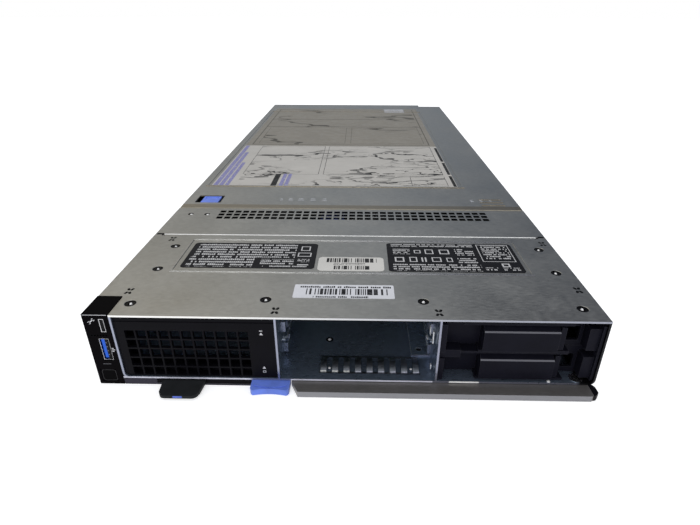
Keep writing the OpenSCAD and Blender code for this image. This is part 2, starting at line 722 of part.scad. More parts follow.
module usb_tongue() in_sled("#2f6fe0") {
  x = control_board_x - usb_w + 0.9;
  span([x, x + 1.6], [1.2, 12], [usb_z + 1, usb_z + usb_h - 1]);
}

module micro_usb_port() in_sled(bright_metal) difference() {
  x = [control_board_x - micro_usb_w, control_board_x];
  z = [micro_usb_z, micro_usb_z + micro_usb_h];
  span(x, [0.3, 6], z);
  span([x[0] + 0.35, x[1] - 0.35], [-1, 4.5], [z[0] + 0.35, z[1] - 0.35]);
}

module control_board() in_sled(board_green)
  span([control_board_x, control_board_x + 1.2], [2.4, 88], [2, sled_h - 3.6]);

// ---------------------------------------------------------------- tag, button and handle

module tag_housing() in_sled(black_plastic) difference() {
  span(housing_x, [0.5, tag_in + 2], [sheet_t, cage_z]);
  // channel, open towards the chassis floor
  span([tag_x[0] - tag_stop - slip, tag_x[1] + tag_stop + slip], [3.3, tag_in + 0.8],
       [sheet_t - 1, tag_z + tag_t + slip]);
  // mouth
  span([tag_x[0] - slip, tag_x[1] + slip], [-1, 4], [sheet_t - 1, tag_z + tag_t + slip]);
}

module info_tag() in_sled(black_plastic) {
  r = tag_corner_r;
  raise([tag_z, tag_z + tag_t]) {
    // tapered front with rounded corners
    difference() {
      polygon([[tag_x[0], 0], [tag_x[0] + tag_taper, -tag_out], [tag_x[1] - tag_taper, -tag_out], [tag_x[1], 0]]);
      translate([tag_x[0] - 1, -tag_out - 1]) square([1 + tag_taper + r, r + 1]);
      translate([tag_x[1] - tag_taper - r, -tag_out - 1]) square([1 + tag_taper + r, r + 1]);
    }
    for (x = [tag_x[0] + tag_taper + r, tag_x[1] - tag_taper - r]) translate([x, -tag_out + r]) circle(r);
    translate([tag_x[0], -0.01]) square([tag_x[1] - tag_x[0], tag_in]);
    // shoulders that stop it at the housing's mouth
    translate([tag_x[0] - tag_stop, tag_in - 4]) square([tag_x[1] - tag_x[0] + 2 * tag_stop, 4]);
  }
}

module release_button() in_sled(touch_blue) difference() {
  w = button_x[1] - button_x[0];
  mid = (button_x[0] + button_x[1]) / 2;
  z = handle_z;
  thumb_r = 34;
  corner_r = 2.4;
  union() {
    raise(z) {
      rounded(button_x, [-button_out, 2], corner_r);
      translate([button_x[0], -1]) square([w, 3]);
    }
    span(button_stem_x, [1, button_stem_y], z);
  }
  // hollow for the thumb
  translate([mid, -button_out - thumb_r + 1.2, -1]) cylinder(r = thumb_r, h = 10, $fn = 96);
  // curved groove across the top, where the finger grips
  translate([mid, 26 - button_out + 1.6, z[1] - 0.5]) intersection() {
    difference() {
      cylinder(r = 26, h = 2, $fn = 120);
      translate([0, 0, -1]) cylinder(r = 24.9, h = 4, $fn = 120);
    }
    translate([-w / 2 + 1.6, -30, -1]) cube([w - 3.2, 12, 4]);
  }
  // seat for the spring
  translate([mid, button_stem_y - 1.5, (z[0] + z[1]) / 2]) bar_y(spring_r + spring_wire, 4);
}

module button_spring() in_sled(bright_metal)
  translate([(button_x[0] + button_x[1]) / 2, button_stem_y - 1.45, (handle_z[0] + handle_z[1]) / 2])
    rotate([-90, 0, 0])
      coil_spring(spring_r, spring_wire, pocket_d - button_stem_y + 1.4, spring_turns);

module handle_outline() {
  polygon([[handle_left[0], handle_in], [handle_left[0], 0], [handle_left[1], -handle_out],
           [cap_x - 1, -handle_out], [cap_x, -handle_out + 0.8], [cap_x, handle_in]]);
  translate([pivot_x, pivot_y]) circle(pivot_boss_r);
}

module release_handle() in_sled("#5f5b58") difference() {
  raise(handle_z) handle_outline();
  // hollow underside of the folded bar
  span([handle_left[1] + 6, pivot_x - pivot_boss_r - 3], [-handle_out + handle_wall, handle_in - handle_wall],
       [-1, handle_z[1] - handle_wall]);
  // room for the end cap
  span([cap_x, half_w + 1], [-20, 20], [-1, 10]);
  translate([pivot_x, pivot_y, -1]) cylinder(r = pivot_pin_d / 2 + bore_play, h = 10);
  translate([pivot_x, pivot_y, -1]) cylinder(r = pivot_pin_d / 2 + 1.8, h = 2.6);
}

module handle_cap() in_sled(black_plastic) raise(handle_z) {
  // bevelled at the front, rounded at the back
  polygon([[cap_x + 0.02, -handle_out + 0.5], [half_w - 1.6, -handle_out + 1], [half_w, -handle_out + 2.8],
           [half_w, -2], [cap_x + 0.02, -2]]);
  intersection() {
    translate([cap_x + 0.02, -3]) square([half_w - cap_x - 0.02, 6]);
    translate([half_w - 3.6, -2]) circle(3.6);
  }
}

module handle_pivot_pin() in_sled(bright_metal) translate([pivot_x, pivot_y, 0]) {
  translate([0, 0, 0.3]) cylinder(r = pivot_pin_d / 2 + 1.5, h = 1);
  translate([0, 0, 0.3]) cylinder(r = pivot_pin_d / 2, h = bay_z - 0.3);
  translate([0, 0, bay_z]) cylinder(r = pivot_pin_d / 2 + 1, h = 0.2);
}

// Leaf that pushes the handle out once the button lets it go
module handle_spring() in_sled(bright_metal) raise([1.4, 3.4]) {
  r = 90;
  intersection() {
    translate([18, pocket_d - r - 0.05]) difference() {
      circle(r, $fn = 180);
      circle(r - 0.5, $fn = 180);
    }
    translate([10, handle_in + slip]) square([56, pocket_d]);
  }
}

// ---------------------------------------------------------------- drive backplane

module drive_seats() for (i = [0:2]) for (j = [0, 1])
  translate([bay_x(i) + bay_w / 2, 0, bay_z + bay_h * (0.25 + 0.5 * j)]) children();

module backplane() in_sled(board_green) difference() {
  span([cage_left, half_w - 1.5], [cage_d, cage_d + backplane_t], [bay_z + 0.5, bay_top - 0.5]);
  // air openings above and below the connectors
  for (i = [0:2])
    span([bay_x(i) + 14, bay_x(i) + bay_w - 14], [cage_d - 1, cage_d + 3],
         [bay_z + bay_h / 2 - 3, bay_z + bay_h / 2 + 3]);
}

module drive_connectors() in_sled(black_plastic) drive_seats() difference() {
  span([-16.5, 16.5], [cage_d - 8, cage_d], [-3.2, 3.2]);
  span([-14.5, 14.5], [cage_d - 9, cage_d - 2], [-1.2, 1.2]);
}

// ---------------------------------------------------------------- system board and what it carries

standoff_points = concat(
  [for (x = [-112, -32, 32, 112]) for (y = [board_y[0] + 8, cpu_y[0] + 75]) [x, y]],
  [for (x = [-112, -58, 19, 86]) [x, board_y[1] - 12]]
);

module system_board() in_sled(board_green) difference() {
  span([-board_x, board_x], board_y, [board_z, board_top]);
  at_each(standoff_points) translate([0, 0, board_z - 1]) cylinder(r = 1.6, h = board_t + 2);
}

module standoffs() in_sled(gold) at_each(standoff_points) difference() {
  union() {
    translate([0, 0, sheet_t]) cylinder(r = 3, h = standoff_h);
    // shank pressed through the chassis floor
    translate([0, 0, 0.05]) cylinder(r = standoff_shank_r, h = sheet_t);
  }
  translate([0, 0, sheet_t + 0.8]) cylinder(r = 1.3, h = standoff_h);
}

module board_screws() in_sled(bright_metal) at_each(standoff_points) difference() {
  union() {
    translate([0, 0, board_top - board_t - 1.8]) cylinder(r = 1.25, h = board_t + 2);
    translate([0, 0, board_top]) cylinder(r = 2.8, h = 1.6);
  }
  translate([0, 0, board_top + 0.8]) cylinder(r = 1.2, h = 2, $fn = 6);
}

module at_processors() for (y = cpu_y) translate([0, y, 0]) children();

module processor_sockets() in_sled("#d9d4c8") at_processors() difference() {
  span([-39, 39], [-40, 40], [board_top, board_top + socket_h]);
  span([-25, 25], [-32, 32], [board_top + 1.5, board_top + socket_h + 1]);
}

module processors() in_sled(bright_metal) at_processors() {
  span([-24.8, 24.8], [-31.8, 31.8], [board_top + 1.5, board_top + socket_h]);
  span([-22, 22], [-27, 27], [board_top + socket_h, board_top + socket_h + processor_h]);
}

// Finned heatsink: one comb profile drawn along the air flow
module heatsink(y) in_sled(bright_metal) translate([0, y, 0]) difference() {
  pitch = (heatsink_w - 0.8) / (heatsink_fins - 1);
  rotate([90, 0, 0]) translate([0, 0, -heatsink_l / 2]) linear_extrude(heatsink_l) {
    translate([-heatsink_w / 2, heatsink_z]) square([heatsink_w, heatsink_base]);
    for (i = [0:heatsink_fins - 1])
      translate([-heatsink_w / 2 + i * pitch, heatsink_z]) square([0.8, heatsink_top - heatsink_z]);
  }
  // corners cleared for the captive screws
  for (sx = [-1, 1]) for (sy = [-1, 1])
    translate([sx * (heatsink_w / 2 - 6), sy * (heatsink_l / 2 - 6), heatsink_z - 1]) {
      cylinder(r = 2.6, h = heatsink_base + 2);
      translate([0, 0, heatsink_base + 1]) cylinder(r = 5.5, h = 40);
    }
}

module heatsink_front() heatsink(cpu_y[0]);
module heatsink_rear() heatsink(cpu_y[1]);

module heatsink_screws() in_sled(bright_metal) at_processors()
  for (sx = [-1, 1]) for (sy = [-1, 1])
    translate([sx * (heatsink_w / 2 - 6), sy * (heatsink_l / 2 - 6), board_top]) {
      cylinder(r = 2.5, h = socket_h + processor_h + heatsink_base);
      translate([0, 0, socket_h + processor_h + heatsink_base]) cylinder(r = 4, h = 6);
    }

dimm_x = [for (s = [-1, 1]) for (i = [0:dimms_per_side - 1]) s * (dimm_first_x + i * dimm_pitch)];
module at_dimms() for (y = cpu_y) for (x = dimm_x) translate([x, y, 0]) children();

module dimm_sockets() in_sled(black_plastic) at_dimms() difference() {
  span([-dimm_socket_w / 2, dimm_socket_w / 2], [-dimm_socket_l / 2, dimm_socket_l / 2],
       [board_top, board_top + dimm_socket_h]);
  span([-dimm_t / 2 - fit, dimm_t / 2 + fit], [-dimm_l / 2 - fit, dimm_l / 2 + fit],
       [dimm_seat_z, board_top + dimm_socket_h + 1]);
}

module dimm_latches() in_sled("#d8d8dc") at_dimms() for (s = [-1, 1]) scale([1, s, 1])
  translate([-2, 0, 0]) rotate([90, 0, 90]) linear_extrude(4) {
    y = dimm_l / 2 + 0.4;
    z = board_top + dimm_socket_h;
    polygon([[y, z], [dimm_socket_l / 2, z], [dimm_socket_l / 2 + 2, z + 9], [dimm_socket_l / 2 - 0.6, z + 11],
             [y, z + 8]]);
  }

module memory_modules() in_sled("#17623f") at_dimms() difference() {
  span([-dimm_t / 2, dimm_t / 2], [-dimm_l / 2, dimm_l / 2], [dimm_seat_z, dimm_seat_z + dimm_h]);
  // key notch
  span([-2, 2], [-4.6, -2.2], [dimm_seat_z - 1, dimm_seat_z + 3.5]);
  // ejector notches
  for (s = [-1, 1]) translate([-2, s * dimm_l / 2, dimm_seat_z + 18]) bar_x(1.6, 4);
}

// Storage controller under the slotted bridge
controller_y = [board_y[0] + 2, board_y[0] + 34];
controller_z = board_top + 6;
module storage_controller() in_sled(board_green) {
  span([-46, 46], controller_y, [controller_z, controller_z + 1.6]);
  span([-40, -10], [controller_y[0] + 6, controller_y[1] - 4], [controller_z + 1.6, controller_z + 4]);
  span([12, 40], [controller_y[1] - 12, controller_y[1] - 6], [board_top, controller_z]);
  span([-40, -12], [controller_y[1] - 12, controller_y[1] - 6], [board_top, controller_z]);
}

module controller_handle() in_sled(touch_blue) {
  y = controller_y[1] - 22;
  difference() {
    span([-21, -4], [y, y + 18], [controller_z + 4, cover_z - 3]);
    span([-19, -6], [y - 1, y + 19], [controller_z + 6, cover_z - 5]);
  }
}

module finned_block(x, y, z, n) {
  pitch = (x[1] - x[0] - 1) / (n - 1);
  span(x, y, [z[0], z[0] + 3]);
  for (i = [0:n - 1]) span([x[0] + i * pitch, x[0] + i * pitch + 1], y, [z[0], z[1]]);
}

module chipset_heatsink() in_sled(black_plastic)
  finned_block([-14, 18], [mezzanine_y[0] + 4, mezzanine_y[0] + 40], [board_top, board_top + 16], 11);

side_x = dimm_first_x + (dimms_per_side - 1) * dimm_pitch + dimm_socket_w / 2 + 1.5;
module boot_module() in_sled(board_green) {
  x = [side_x, side_x + 22];
  y = cpu_y[0] - 30;
  span(x, [y, y + 80], [board_top + 4, board_top + 4.8]);
  span([x[0] + 1, x[1] - 1], [y - 4, y + 2], [board_top, board_top + 4]);
  span([x[0] + 9, x[0] + 13], [y + 74, y + 79], [board_top, board_top + 4]);
  for (i = [0:2]) span([x[0] + 4, x[1] - 4], [y + 12 + 21 * i, y + 28 + 21 * i], [board_top + 4.8, board_top + 6]);
}

module management_card() in_sled(board_green) {
  x = [-side_x - 22, -side_x];
  y = cpu_y[0] - 30;
  span(x, [y, y + 60], [board_top + 6, board_top + 7.6]);
  span([x[0] + 3, x[1] - 3], [y + 4, y + 10], [board_top, board_top + 6]);
  span([x[0] + 3, x[1] - 3], [y + 48, y + 54], [board_top, board_top + 6]);
  span([x[0] + 4, x[1] - 4], [y + 18, y + 36], [board_top + 7.6, board_top + 9.4]);
}

module coin_battery() in_sled(bright_metal) translate([-side_x - 12, cpu_y[1] - 20, board_top]) {
  cylinder(r = 10, h = 3.2);
  translate([0, 0, 3.2]) cylinder(r = 8.6, h = 0.5);
}

// ---------------------------------------------------------------- mezzanine cards and rear connectors

function card_x(slot) = [slot[0] - slot[1] / 2 - 4, slot[0] + slot[1] / 2 + 4];

module card_screw_spots(slot) for (x = [card_x(slot)[0] + 4, card_x(slot)[1] - 4])
  translate([x, mezzanine_y[0] + 6, 0]) children();

module mezzanine_card(slot) difference() {
  x = card_x(slot);
  mid = (mezzanine_y[0] + mezzanine_y[1]) / 2;
  union() {
    span(x, mezzanine_y, [mezzanine_z, mezzanine_z + mezzanine_t]);
    // network chip with its heatsink
    finned_block([slot[0] - 14, slot[0] + 14], [mid - 14, mid + 18],
                 [mezzanine_z + mezzanine_t - 0.1, mezzanine_z + mezzanine_t + 11], 9);
  }
  card_screw_spots(slot) translate([0, 0, mezzanine_z - 1]) cylinder(r = 1.6, h = 4);
}

module mezzanine_card_a() in_sled(board_green) mezzanine_card(fabric_a);
module mezzanine_card_b() in_sled(board_green) mezzanine_card(fabric_b);
module mini_mezzanine_card() in_sled(board_green) difference() {
  x = card_x(fabric_c);
  span([x[0], min(x[1], board_x - 1)], mezzanine_y, [mezzanine_z, mezzanine_z + mezzanine_t]);
  translate([x[0] + 4, mezzanine_y[0] + 6, mezzanine_z - 1]) cylinder(r = 1.6, h = 4);
}

// Stacking connectors and spacers between the board and the cards
module mezzanine_connectors() in_sled(black_plastic) {
  for (slot = [fabric_a, fabric_b, fabric_c])
    span([slot[0] - slot[1] / 2 + 3, slot[0] + slot[1] / 2 - 3], [mezzanine_y[0] + 14, mezzanine_y[0] + 22],
         [board_top, mezzanine_z]);
}

// Threaded spacer with the screw that holds a card on it
module card_screw() {
  difference() {
    translate([0, 0, board_top]) cylinder(r = 2.6, h = mezzanine_z - board_top);
    translate([0, 0, mezzanine_z - 5]) cylinder(r = 1.3, h = 8);
  }
  translate([0, 0, mezzanine_z - 4]) cylinder(r = 1.3, h = 4 + mezzanine_t + 0.1);
  translate([0, 0, mezzanine_z + mezzanine_t]) cylinder(r = 2.6, h = 1.6);
}

module mezzanine_screws() in_sled(bright_metal) {
  card_screw_spots(fabric_a) card_screw();
  card_screw_spots(fabric_b) card_screw();
  translate([card_x(fabric_c)[0] + 4, mezzanine_y[0] + 6, 0]) card_screw();
}

module rear_panel() in_sled(galvanised) difference() {
  span([-half_w + sheet_t + fit, half_w - sheet_t - fit], [rear_y, rear_y + sheet_t],
       [sheet_t, cover_z - skirt_h - 1]);
  for (slot = [fabric_a, power_block, signal_block, fabric_b, fabric_c])
    span([slot[0] - slot[1] / 2 - 1, slot[0] + slot[1] / 2 + 1], [rear_y - 1, rear_y + 3],
         [connector_z[0] - 8, cover_z]);
  for (x = guide_x) translate([x, rear_y - 1, 22]) bar_y(guide_bore_r + 2.1, 4);
}

// Header block with rows of contact cavities facing the enclosure
module header_block(slot, y, z, columns) difference() {
  x = [slot[0] - slot[1] / 2, slot[0] + slot[1] / 2];
  pitch = (slot[1] - 4) / columns;
  span(x, y, z);
  for (i = [0:columns - 1])
    span([x[0] + 2 + i * pitch + 0.6, x[0] + 2 + (i + 1) * pitch - 0.6], [y[1] - 6, y[1] + 1],
         [z[0] + 2, z[1] - 2]);
}

module fabric_connectors() in_sled(black_plastic) {
  z = [mezzanine_z + mezzanine_t, cover_z - skirt_h - 2];
  header_block(fabric_a, [mezzanine_y[1] - 12, sled_d - 4], z, 8);
  header_block(fabric_b, [mezzanine_y[1] - 12, sled_d - 4], z, 8);
  header_block(fabric_c, [mezzanine_y[1] - 12, step_y - 0.5], z, 4);
}

module power_connector() in_sled(black_plastic)
  header_block(power_block, [board_y[1] - 16, sled_d - 4], [board_top, board_top + 18], 6);

module signal_connector() in_sled(black_plastic)
  header_block(signal_block, [board_y[1] - 16, sled_d - 4], [board_top, board_top + 14], 10);

module guide_sockets() in_sled(galvanised) for (x = guide_x) translate([x, 0, 22]) difference() {
  union() {
    translate([0, rear_y - 16, 0]) bar_y(guide_bore_r + 2, 22);
    span([-6, 6], [rear_y - 16, rear_y - fit], [board_top - 22, 0]);
  }
  translate([0, rear_y - 14, 0]) bar_y(guide_bore_r, 30);
}

chassis_base();
front_cover();
vent_bridge();
rear_cover();
cover_latch();
latch_pin();
cover_studs();
cover_screws();
drive_cage();
cage_divider_left();
cage_divider_right();
emi_finger_strip();
cage_rivets();
bay_vent_blank();
drive_blank_upper();
drive_blank_lower();
control_panel();
power_button();
power_switch();
usb_port();
usb_tongue();
micro_usb_port();
control_board();
tag_housing();
info_tag();
release_button();
button_spring();
release_handle();
handle_cap();
handle_pivot_pin();
handle_spring();
backplane();
drive_connectors();
system_board();
standoffs();
board_screws();
processor_sockets();
processors();
heatsink_front();
heatsink_rear();
heatsink_screws();
dimm_sockets();
dimm_latches();
memory_modules();
storage_controller();
controller_handle();
chipset_heatsink();
boot_module();
management_card();
coin_battery();
mezzanine_card_a();
mezzanine_card_b();
mini_mezzanine_card();
mezzanine_connectors();
mezzanine_screws();
rear_panel();
fabric_connectors();
power_connector();
signal_connector();
guide_sockets();
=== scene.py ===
"""Blade server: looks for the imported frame. Lengths are in metres, in the frame's own axes."""
import json
import math

import bmesh
import bpy
from mathutils import Matrix, Vector


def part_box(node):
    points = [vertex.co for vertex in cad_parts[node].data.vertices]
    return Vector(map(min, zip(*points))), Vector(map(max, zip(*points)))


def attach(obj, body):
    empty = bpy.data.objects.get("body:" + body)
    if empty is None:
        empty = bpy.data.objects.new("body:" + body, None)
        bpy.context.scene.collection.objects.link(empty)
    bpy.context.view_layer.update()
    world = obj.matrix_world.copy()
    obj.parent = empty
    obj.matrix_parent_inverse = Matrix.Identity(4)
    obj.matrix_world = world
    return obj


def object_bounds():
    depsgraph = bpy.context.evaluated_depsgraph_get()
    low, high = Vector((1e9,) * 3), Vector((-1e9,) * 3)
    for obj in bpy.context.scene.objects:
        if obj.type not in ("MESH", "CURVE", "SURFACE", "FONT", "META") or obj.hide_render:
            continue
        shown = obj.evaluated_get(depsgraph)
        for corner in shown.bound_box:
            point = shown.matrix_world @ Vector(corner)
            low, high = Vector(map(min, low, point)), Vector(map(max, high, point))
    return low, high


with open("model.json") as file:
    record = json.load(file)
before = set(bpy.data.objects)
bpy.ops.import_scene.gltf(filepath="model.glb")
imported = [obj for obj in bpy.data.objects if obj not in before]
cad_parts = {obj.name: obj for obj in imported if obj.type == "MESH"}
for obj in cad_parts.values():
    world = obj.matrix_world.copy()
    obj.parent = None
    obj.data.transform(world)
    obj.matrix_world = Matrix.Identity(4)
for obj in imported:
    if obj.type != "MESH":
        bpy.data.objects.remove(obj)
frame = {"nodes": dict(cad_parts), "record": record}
cad_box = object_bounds()
MM = 0.001

# Reference planes of the server, from the frame: front face, top sheet, lowest point, right side, rear cover
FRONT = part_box("front_cover")[0][1]
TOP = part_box("vent_bridge")[1][2]
FLOOR = cad_box[0][2]
SIDE = cad_box[1][0]
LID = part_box("rear_cover")[0][1]


# ------------------------------------------------------------------ camera

def add_camera():
    data = bpy.data.cameras.new("camera")
    data.lens = 25.09
    data.sensor_width = 36.0
    data.clip_start = 0.01
    camera = bpy.data.objects.new("camera", data)
    camera.location = (0.00666, FRONT - 0.19144, 0.17022)
    camera.rotation_euler = (math.radians(90 - 27.297), math.radians(-0.084), math.radians(1.2285))
    bpy.context.collection.objects.link(camera)
    bpy.context.scene.camera = camera


add_camera()


# ------------------------------------------------------------------ light and floor

def seen_factor(tree, rays):
    """1 for the rays that show the background: camera, glossy and transmission."""
    seen = math_node(tree, "ADD", rays.outputs["Is Camera Ray"], rays.outputs["Is Glossy Ray"])
    return math_node(tree, "ADD", seen, rays.outputs["Is Transmission Ray"], clamp=True)


def add_area(name, place, aim, size, power, colour=(1, 1, 1)):
    data = bpy.data.lights.new(name, "AREA")
    data.shape = "RECTANGLE"
    data.size, data.size_y = size
    data.energy = power
    data.color = colour
    lamp = bpy.data.objects.new(name, data)
    lamp.location = place
    lamp.rotation_euler = (Vector(aim) - Vector(place)).to_track_quat("-Z", "Y").to_euler()
    bpy.context.collection.objects.link(lamp)


def studio_world():
    """Plain light for matt surfaces. The camera sees white. Metal and plastic reflect a shaded room, white at
    the horizon."""
    world = bpy.data.worlds.new("studio")
    bpy.context.scene.world = world
    world.use_nodes = True
    tree = world.node_tree
    nodes, links = tree.nodes, tree.links
    nodes.clear()
    out = nodes.new("ShaderNodeOutputWorld")
    room = nodes.new("ShaderNodeBackground")
    light = nodes.new("ShaderNodeBackground")
    light.inputs["Color"].default_value = (0.72, 0.73, 0.76, 1)
    direction = nodes.new("ShaderNodeSeparateXYZ")
    links.new(nodes.new("ShaderNodeTexCoord").outputs["Generated"], direction.inputs[0])
    # the ceiling is warm and bright at the left, bluish in the middle and dark at the right
    ceiling = nodes.new("ShaderNodeValToRGB")
    ceiling.color_ramp.interpolation = "EASE"
    stops = ceiling.color_ramp.elements
    stops[0].position, stops[0].color = 0.3, (0.46, 0.41, 0.31, 1)
    stops[1].position, stops[1].color = 0.66, (0.03, 0.03, 0.04, 1)
    stops.new(0.5).color = (0.37, 0.385, 0.395, 1)
    links.new(spread(tree, direction.outputs["X"], -1.0, 1.0), ceiling.inputs[0])
    low = spread(tree, direction.outputs["Z"], 0.2, 0.5, 1.0, 0.0)
    shown = blend_colour(tree, low, ceiling.outputs[0], (0.215, 0.26, 0.32))
    behind = spread(tree, direction.outputs["Y"], -0.3, -0.05, 1.0, 0.0)
    shown = blend_colour(tree, behind, shown, (0.36, 0.37, 0.38))
    horizon = spread(tree, direction.outputs["Z"], 0.02, 0.07, 1.0, 0.0)
    shown = blend_colour(tree, horizon, shown, (1.0, 1.0, 1.0))
    rays = nodes.new("ShaderNodeLightPath")
    shown = blend_colour(tree, rays.outputs["Is Camera Ray"], shown, (1.0, 1.0, 1.0))
    links.new(shown, room.inputs["Color"])
    mix = nodes.new("ShaderNodeMixShader")
    links.new(seen_factor(tree, rays), mix.inputs[0])
    links.new(light.outputs[0], mix.inputs[1])
    links.new(room.outputs[0], mix.inputs[2])
    links.new(mix.outputs[0], out.inputs[0])


def add_floor():
    """White floor that keeps the server's shadow."""
    bm = bmesh.new()
    bmesh.ops.create_grid(bm, x_segments=1, y_segments=1, size=12.0)
    mesh = bpy.data.meshes.new("floor")
    bm.to_mesh(mesh)
    bm.free()
    floor = bpy.data.objects.new("floor", mesh)
    floor.location = (0, 0, FLOOR - 0.00005)
    bpy.context.collection.objects.link(floor)
    paint = bpy.data.materials.new("studio_floor")
    paint.use_nodes = True
    tree = paint.node_tree
    shader = tree.nodes["Principled BSDF"]
    shader.inputs["Base Color"].default_value = (0.8, 0.8, 0.8, 1)
    shader.inputs["Roughness"].default_value = 0.9
    shader.inputs["Specular IOR Level"].default_value = 0.0
    glow = tree.nodes.new("ShaderNodeEmission")
    seen = seen_factor(tree, tree.nodes.new("ShaderNodeLightPath"))
    tree.links.new(math_node(tree, "MULTIPLY", seen, 0.56), glow.inputs["Strength"])
    both = tree.nodes.new("ShaderNodeAddShader")
    tree.links.new(shader.outputs[0], both.inputs[0])
    tree.links.new(glow.outputs[0], both.inputs[1])
    tree.links.new(both.outputs[0], tree.nodes["Material Output"].inputs[0])
    mesh.materials.append(paint)


# ------------------------------------------------------------------ node groups

def new_group(name, inputs, outputs):
    """An empty shader group with (name, socket type, value) inputs and (name, socket type) outputs."""
    tree = bpy.data.node_groups.new(name, "ShaderNodeTree")
    for label, kind, value in inputs:
        tree.interface.new_socket(label, in_out="INPUT", socket_type=kind).default_value = value
    for label, kind in outputs:
        tree.interface.new_socket(label, in_out="OUTPUT", socket_type=kind)
    return tree, tree.nodes.new("NodeGroupInput"), tree.nodes.new("NodeGroupOutput")


def math_node(tree, operation, a, b=None, c=None, clamp=False):
    node = tree.nodes.new("ShaderNodeMath")
    node.operation = operation
    node.use_clamp = clamp
    for socket, value in zip(node.inputs, (a, b, c)):
        if value is None:
            continue
        if isinstance(value, (int, float)):
            socket.default_value = value
        else:
            tree.links.new(value, socket)
    return node.outputs[0]


def noise(tree, vector, scale, detail=2.0, roughness=0.5):
    node = tree.nodes.new("ShaderNodeTexNoise")
    if isinstance(scale, (int, float)):
        node.inputs["Scale"].default_value = scale
    else:
        tree.links.new(scale, node.inputs["Scale"])
    node.inputs["Detail"].default_value = detail
    node.inputs["Roughness"].default_value = roughness
    tree.links.new(vector, node.inputs["Vector"])
    return node.outputs["Fac"]


def spread(tree, value, low, high, to_low=0.0, to_high=1.0):
    node = tree.nodes.new("ShaderNodeMapRange")
    for index, number in enumerate((low, high, to_low, to_high), start=1):
        node.inputs[index].default_value = number
    tree.links.new(value, node.inputs[0])
    return node.outputs[0]


def stretch(tree, vector, scale):
    node = tree.nodes.new("ShaderNodeMapping")
    node.inputs["Scale"].default_value = scale
    tree.links.new(vector, node.inputs["Vector"])
    return node.outputs["Vector"]


def object_place(tree):
    return tree.nodes.new("ShaderNodeTexCoord").outputs["Object"]


def make_sheet_grain():
    """Rolled zinc coating: fine streaks along the sheet, a soft spangle and handling marks."""
    tree, _, out = new_group("sheet_grain", [], [
        ("Tone", "NodeSocketFloat"), ("Gloss", "NodeSocketFloat"), ("Height", "NodeSocketFloat")])
    place = object_place(tree)
    streaks = noise(tree, stretch(tree, place, (260, 1700, 260)), 1.0, 3.0)
    cloud = noise(tree, place, 28.0, 4.0, 0.6)
    spangle = tree.nodes.new("ShaderNodeTexVoronoi")
    spangle.inputs["Scale"].default_value = 420.0
    tree.links.new(place, spangle.inputs["Vector"])
    grey = tree.nodes.new("ShaderNodeSeparateColor")
    tree.links.new(spangle.outputs["Color"], grey.inputs[0])
    flakes = spread(tree, grey.outputs[0], 0.0, 1.0, -0.04, 0.04)
    lines = spread(tree, streaks, 0.3, 0.7, -0.07, 0.07)
    clouds = spread(tree, cloud, 0.3, 0.7, -0.05, 0.05)
    tone = math_node(tree, "ADD", math_node(tree, "ADD", flakes, lines), clouds)
    tree.links.new(math_node(tree, "ADD", tone, 1.0), out.inputs["Tone"])
    tree.links.new(math_node(tree, "ADD", clouds, lines), out.inputs["Gloss"])
    ridges = math_node(tree, "MULTIPLY", streaks, 0.6)
    tree.links.new(math_node(tree, "ADD", ridges, flakes), out.inputs["Height"])
    return tree


def make_edge_wear_and_glint():
    """Mask that is 1 along the edges of a shape, broken up by noise, for rub marks and painted glints."""
    tree, given, out = new_group("edge_wear_and_glint", [
        ("Radius", "NodeSocketFloat", 0.0004), ("Amount", "NodeSocketFloat", 1.0)], [("Mask", "NodeSocketFloat")])
    bevel = tree.nodes.new("ShaderNodeBevel")
    bevel.samples = 4
    tree.links.new(given.outputs["Radius"], bevel.inputs["Radius"])
    geometry = tree.nodes.new("ShaderNodeNewGeometry")
    dot = tree.nodes.new("ShaderNodeVectorMath")
    dot.operation = "DOT_PRODUCT"
    tree.links.new(bevel.outputs[0], dot.inputs[0])
    tree.links.new(geometry.outputs["Normal"], dot.inputs[1])
    edge = spread(tree, dot.outputs["Value"], 0.98, 0.8)
    broken = spread(tree, noise(tree, object_place(tree), 900.0, 3.0), 0.35, 0.6, 0.35, 1.0)
    mask = math_node(tree, "MULTIPLY", edge, broken)
    mask = math_node(tree, "MULTIPLY", mask, given.outputs["Amount"], clamp=True)
    tree.links.new(mask, out.inputs["Mask"])
    return tree


def make_moulded_skin():
    """Spark-eroded texture of a moulded plastic part, with faint rub marks."""
    tree, _, out = new_group("moulded_skin", [], [
        ("Tone", "NodeSocketFloat"), ("Gloss", "NodeSocketFloat"), ("Height", "NodeSocketFloat")])
    place = object_place(tree)
    grit = noise(tree, place, 2600.0, 2.0)
    rub = noise(tree, place, 60.0, 4.0, 0.65)
    tree.links.new(spread(tree, rub, 0.3, 0.7, 0.8, 1.25), out.inputs["Tone"])
    tree.links.new(spread(tree, rub, 0.3, 0.7, -0.06, 0.06), out.inputs["Gloss"])
    tree.links.new(grit, out.inputs["Height"])
    return tree


